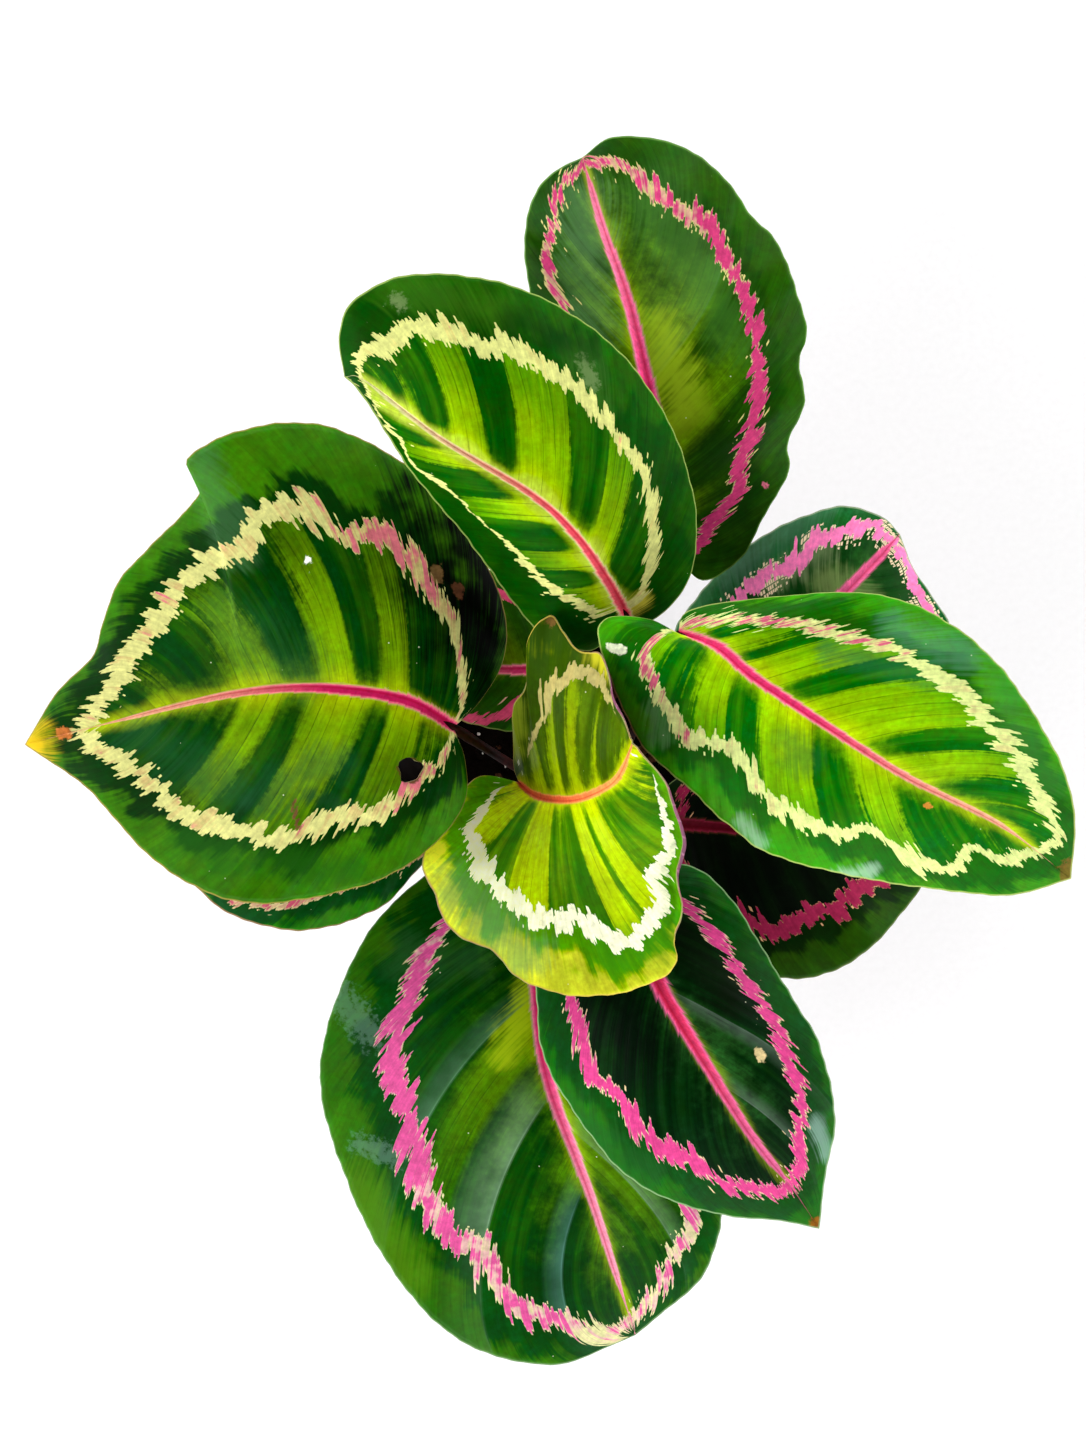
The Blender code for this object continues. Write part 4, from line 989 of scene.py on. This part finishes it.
def tube(name, points, radii, sides):
    # A round tube through the points, with its own radius at each, closed at both ends
    forward = np.gradient(points, axis=0)
    forward /= lengthOf(forward)
    level = np.cross(forward, (0.03, 1.0, 0.02))
    level /= lengthOf(level)
    other = np.cross(forward, level)
    angle = np.linspace(0, 2 * np.pi, sides, endpoint=False)[None, :, None]
    spokes = np.cos(angle) * level[:, None] + np.sin(angle) * other[:, None]
    rings = points[:, None] + radii[:, None, None] * spokes
    mesh = ringMesh(name, rings, [points[0], points[-1]])
    mesh.shade_smooth()
    return mesh


def stalkSurface():
    # A fresh leaf stalk: smooth maroon skin with faint lengthwise streaks, greener near the soil
    made, shader, add, place = newSurface("maroon_leaf_stalk", 0.38, 1.42, 0.04)
    stretched = add("Mapping", Vector=place, Scale=(1, 1, 0.08))
    streaks, maroon = mottled(add, stretched, 1.6, 3, 0.35, 0.65, "#100303", "#280a08")
    height = add("SeparateXYZ", place).outputs["Z"]
    low = add("MapRange SMOOTHSTEP", height, *(value * mm for value in stalk["green"]), 1, 0)
    bump = add("Bump", Strength=0.4, Distance=0.2 * mm, Height=streaks)
    wire(shader, {"Base Color": add("Mix", low, maroon, "#3c3a18"), "Normal": bump})
    return made


stalkSkin = stalkSurface()
for leafName, leaf in leaves.items():
    route = stalkRoute(leaf, stalk["steps"])
    steps = np.linspace(0, 1, len(route))
    sheath = (stalk["footRadius"] - stalk["radius"]) * np.clip(1 - steps / stalk["sheathEnd"], 0, 1) ** 1.5
    joint = stalk["jointSwell"] * np.exp(-((steps - stalk["jointPlace"]) / stalk["jointHalf"]) ** 2)
    radii = stalk["radius"] + (stalk["topRadius"] - stalk["radius"]) * steps + sheath + joint
    shares = np.linspace(*stalk["ribShares"], stalk["ribSteps"])
    ribRadii = stalk["topRadius"] + (stalk["ribTipRadius"] - stalk["topRadius"]) * shares
    rib = byLength(leaf["midrib"], shares)
    rib -= underNormal(rib) * (ribRadii - stalk["ribSink"] + sheet["grooveDepth"])[:, None]
    mesh = tube(leafName + "_stalk", np.vstack([route, rib]), np.append(radii, ribRadii), stalk["sides"])
    addPiece(leafName + "_stalk", mesh, [stalkSkin], leafName)
print("stalks made")


# The pot, a plain thin-walled nursery pot with a stepped rim and drainage holes

pot = {
    "height": 118.0,
    "topRadius": 66.0,
    "baseRadius": 47.0,
    "wall": 1.4,
    "floor": 2.0,
    "rimDepth": 13.0,
    "rimStep": 2.2,
    "corner": 2.0,
    "foot": 0.6,
    "sides": 128,
    "lipSteps": 7,
    "drains": 8,
    "drainRadius": 4.5,
    "drainCircle": 34.0,
    "drainDepth": 6.0,
    "round": 0.6,
    "sharpFrom": 35.0,
}


def insideRadius(height):
    return pot["baseRadius"] + (pot["topRadius"] - pot["baseRadius"]) * height / pot["height"] - pot["wall"]


def turnedMesh(name, profile, sides):
    # A closed solid turned about the upright axis, from a profile that starts and ends on the axis
    angle = np.linspace(0, 2 * np.pi, sides, endpoint=False)
    circle = np.column_stack([np.cos(angle), np.sin(angle), 0 * angle])
    rings = [r * circle + (0, 0, z) for r, z in profile[1:-1]]
    return ringMesh(name, np.array(rings), [(0, 0, profile[0][1]), (0, 0, profile[-1][1])], flipped=True)


def potProfile():
    rimLow = pot["height"] - pot["rimDepth"]
    rimOut = pot["topRadius"] + pot["rimStep"]
    edge = pot["round"]
    middle = rimOut - pot["wall"] / 2
    lip = [(middle + pot["wall"] / 2 * math.cos(a), pot["height"] - edge + edge * math.sin(a))
           for a in np.linspace(np.pi, 0, pot["lipSteps"])]
    return [
        (0.0, pot["floor"]),
        (insideRadius(pot["floor"]) - pot["corner"], pot["floor"]),
        (insideRadius(pot["floor"] + pot["corner"]), pot["floor"] + pot["corner"]),
        (insideRadius(rimLow), rimLow),
        (insideRadius(rimLow) + pot["rimStep"], rimLow + pot["rimStep"]),
        *lip,
        (rimOut - edge, rimLow + edge),
        (rimOut - 2 * edge, rimLow),
        (insideRadius(rimLow) + pot["wall"], rimLow - edge),
        (pot["baseRadius"] + 0.25, pot["corner"] + 1.4),
        (pot["baseRadius"], pot["corner"]),
        (pot["baseRadius"] - pot["foot"], pot["foot"]),
        (pot["baseRadius"] - pot["corner"], 0.0),
        (0.0, 0.0),
    ]


def potSurface():
    # Moulded polypropylene: near-black, satin, with a faint cloudiness and a little dust
    made, shader, add, place = newSurface("moulded_black_polypropylene", 0.42, 1.49)
    cloud, colour = mottled(add, place, 24, 5, 0.35, 0.7, "#1b1b1d", "#2b2a2a")
    rough = add("MapRange", cloud, 0.3, 0.7, 0.36, 0.55)
    skin = add("TexNoise", Vector=place, Scale=1 / (0.6 * mm), Detail=2)
    bump = add("Bump", Strength=0.25, Distance=0.1 * mm, Height=skin)
    wire(shader, {"Base Color": colour, "Roughness": rough, "Normal": bump})
    return made


def makePot():
    mesh = turnedMesh("nursery_pot", potProfile(), pot["sides"])
    made = addPiece("nursery_pot", mesh, [potSurface()], "pot")
    shape = bmesh.new()
    for number in range(pot["drains"]):
        angle = 2 * math.pi * (number + 0.5) / pot["drains"]
        middle = [pot["drainCircle"] * math.cos(angle) * mm, pot["drainCircle"] * math.sin(angle) * mm, mm]
        hole = bmesh.ops.create_cone(shape, cap_ends=True, segments=32, radius1=pot["drainRadius"] * mm,
                                     radius2=pot["drainRadius"] * mm, depth=pot["drainDepth"] * mm)
        bmesh.ops.translate(shape, verts=hole["verts"], vec=middle)
    cutters = bpy.data.meshes.new("drains")
    shape.to_mesh(cutters)
    shape.free()
    tool = addObject("drains", cutters)
    cut = made.modifiers.new("drains", "BOOLEAN")
    cut.object = tool
    cut.solver = "EXACT"
    bpy.context.view_layer.update()
    result = bpy.data.meshes.new_from_object(made.evaluated_get(bpy.context.evaluated_depsgraph_get()))
    made.modifiers.clear()
    made.data = result
    bpy.data.objects.remove(tool, do_unlink=True)
    result.shade_smooth()
    result.set_sharp_from_angle(angle=math.radians(pot["sharpFrom"]))


makePot()
print("pot made")


# The potting mix: fine dark peat with crumbs, bark chips and white perlite

mix = {
    "top": 105.0,
    "bump": 1.3,
    "gap": 0.3,
    "edgeDrop": 2.5,
    "fallWidth": 4.0,
    "grain": 0.5,
    "sides": 144,
    "rings": 60,
    "rootClear": 3.4,
    "edgeClear": 3.0,
    "seed": 5,
    # The peat is near black, darker than damp peat: partly its own colour, partly painted shade for the deep
    # shade under the leaves
    "peat": ("#030201", "#0e0906"),
    "perlite": ("#b8b2a6", "#e8e4da"),
    "bark": ("#23140c", "#4a2e1c"),
}


def mixHeight(x, y):
    slow = np.sin(0.11 * x + 1.0) * np.cos(0.13 * y - 0.6)
    quick = np.sin(0.37 * x - 0.2 * y) * np.cos(0.31 * y + 0.9)
    return mix["top"] + mix["bump"] * (slow + 0.6 * quick)


def mixSurface(name, colours, grain, roughness):
    # Damp peat and what is in it: rough and matt, mottled at the size of its grains
    made, shader, add, place = newSurface(name, roughness, 1.4, 0.02)
    grains, colour = mottled(add, place, grain, 6, 0.3, 0.75, *colours, roughness=0.7)
    bump = add("Bump", Strength=1.0, Distance=0.6 * mm, Height=grains)
    wire(shader, {"Base Color": colour, "Normal": bump})
    return made


def addLumps(name, surface, count, sizes, flatness, seed, sink):
    # Small uneven lumps lying on the mix, as one piece
    chance = np.random.default_rng(seed)
    ball = bmesh.new()
    bmesh.ops.create_icosphere(ball, subdivisions=2, radius=1.0)
    unit = np.array([vertex.co for vertex in ball.verts])
    corners = [tuple(vertex.index for vertex in face.verts) for face in ball.faces]
    ball.free()
    edge = insideRadius(mix["top"] - mix["edgeDrop"]) - mix["edgeClear"]
    roots = [leaf["root"] for leaf in leaves.values()]
    points, faces = [], []
    for _ in range(count):
        radius = edge * math.sqrt(chance.random())
        angle = 2 * math.pi * chance.random()
        x, y = radius * math.cos(angle), radius * math.sin(angle)
        if any(math.dist((x, y), root) < mix["rootClear"] for root in roots):
            continue
        size = sizes[0] + (sizes[1] - sizes[0]) * chance.random() ** 2
        uneven = 1 + 0.22 * np.sin(unit @ chance.normal(size=3) * 3 + chance.random() * 6)[:, None]
        turned = unit * uneven * size * (1, 0.5 + 0.5 * chance.random(), flatness)
        spin = 2 * math.pi * chance.random()
        tilt = 0.5 * (chance.random() - 0.5)
        c, s = math.cos(spin), math.sin(spin)
        turned = turned @ np.array([[c, s, 0], [-s, c, 0], [0, 0, 1]])
        turned[:, 2] += tilt * turned[:, 0]
        faces += [tuple(number + len(points) * len(unit) for number in corner) for corner in corners]
        points.append(turned + (x, y, mixHeight(x, y) + (0.5 - sink) * size * flatness))
    addPiece(name, newMesh(name, np.vstack(points), faces), [surface], "soil")


def makeMix():
    edgeHeight = mix["top"] - mix["edgeDrop"]
    edge = insideRadius(edgeHeight) - mix["gap"]
    low = pot["floor"] + mix["gap"]
    profile = [(edge * ring / mix["rings"], mix["top"]) for ring in range(mix["rings"])]
    profile += [
        (edge - 0.4, mix["top"] - 0.6),
        (edge, edgeHeight),
        (insideRadius(low + pot["corner"]) - mix["gap"], low + pot["corner"]),
        (insideRadius(low) - pot["corner"] - mix["gap"], low),
        (0.0, low),
    ]
    mesh = turnedMesh("potting_mix", profile[::-1], mix["sides"])
    chance = np.random.default_rng(mix["seed"])
    for vertex in mesh.vertices:
        x, y, z = (value / mm for value in vertex.co)
        if z > mix["top"] - 1:
            fall = max(min((edge - math.hypot(x, y)) / mix["fallWidth"], 1), 0.15)
            rough = mix["grain"] * (chance.random() - 0.5)
            vertex.co.z = (edgeHeight + (mixHeight(x, y) - edgeHeight) * fall + rough) * mm
    mesh.shade_smooth()
    # The peat's near-black is partly painted shade
    peat = mixSurface("damp_peat", mix["peat"], 1.2, 0.95)
    stone = mixSurface("expanded_perlite", mix["perlite"], 0.8, 0.85)
    bark = mixSurface("composted_bark", mix["bark"], 1.0, 0.9)
    addPiece("potting_mix", mesh, [peat], "soil")
    addLumps("peat_crumbs", peat, 900, (0.5, 1.8), 0.8, mix["seed"] + 1, 0.3)
    addLumps("perlite", stone, 130, (0.6, 1.7), 0.8, mix["seed"] + 2, 0.35)
    addLumps("bark_chips", bark, 90, (1.2, 3.4), 0.3, mix["seed"] + 3, 0.2)


makeMix()
print("potting mix made")


# The studio: a pale floor, an even sky that is bright low down, and one large soft light from the left

studio = {
    "floorHalf": 3000.0,
    "skyLow": 4.4,
    "skyHigh": 0.06,
    "skyTurn": (0.35, 0.62),  # heights of the sky, as the sine of elevation, between which it darkens
    "keyPlace": (-800.0, -400.0, 1400.0),
    "keyAim": (0.0, 0.0, 240.0),
    "keySize": 900.0,
    "keyPower": 7.0,
}


def floorSurface():
    # Matt white paper, so the plant's shadow is the only mark on it
    made, shader, add, place = newSurface("matt_white_paper", 0.9, 1.45)
    _, colour = mottled(add, place, 3, 4, 0.3, 0.7, "#f8f8f8", "#fcfcfc")
    wire(shader, {"Base Color": colour})
    return made


def makeStudio():
    half = studio["floorHalf"]
    corners = [(-half, -half, 0), (half, -half, 0), (half, half, 0), (-half, half, 0)]
    mesh = newMesh("floor", corners, [(0, 1, 2, 3)])
    mesh.materials.append(floorSurface())
    floor = addObject("floor", mesh)

    world = bpy.context.scene.world or bpy.data.worlds.new("studio")
    bpy.context.scene.world = world
    world.use_nodes = True
    add = partial(addNode, world.node_tree)
    height = add("SeparateXYZ", add("TexCoord").outputs["Generated"]).outputs["Z"]
    power = add("MapRange SMOOTHSTEP", height, *studio["skyTurn"], studio["skyLow"], studio["skyHigh"])
    wire(world.node_tree.nodes["Background"], {"Color": "#ffffff", "Strength": power})

    lamp = bpy.data.lights.new("key", "AREA")
    lamp.shape = "DISK"
    lamp.size = studio["keySize"] * mm
    lamp.energy = studio["keyPower"]
    key = addObject("key", lamp)
    key.location = [value * mm for value in studio["keyPlace"]]
    x, y, z = np.subtract(studio["keyPlace"], studio["keyAim"])
    key.rotation_euler = (math.atan2(math.hypot(x, y), z), 0, math.atan2(y, x) + math.pi / 2)
    bpy.context.scene.view_settings.view_transform = "Standard"


makeStudio()
print("studio lit")
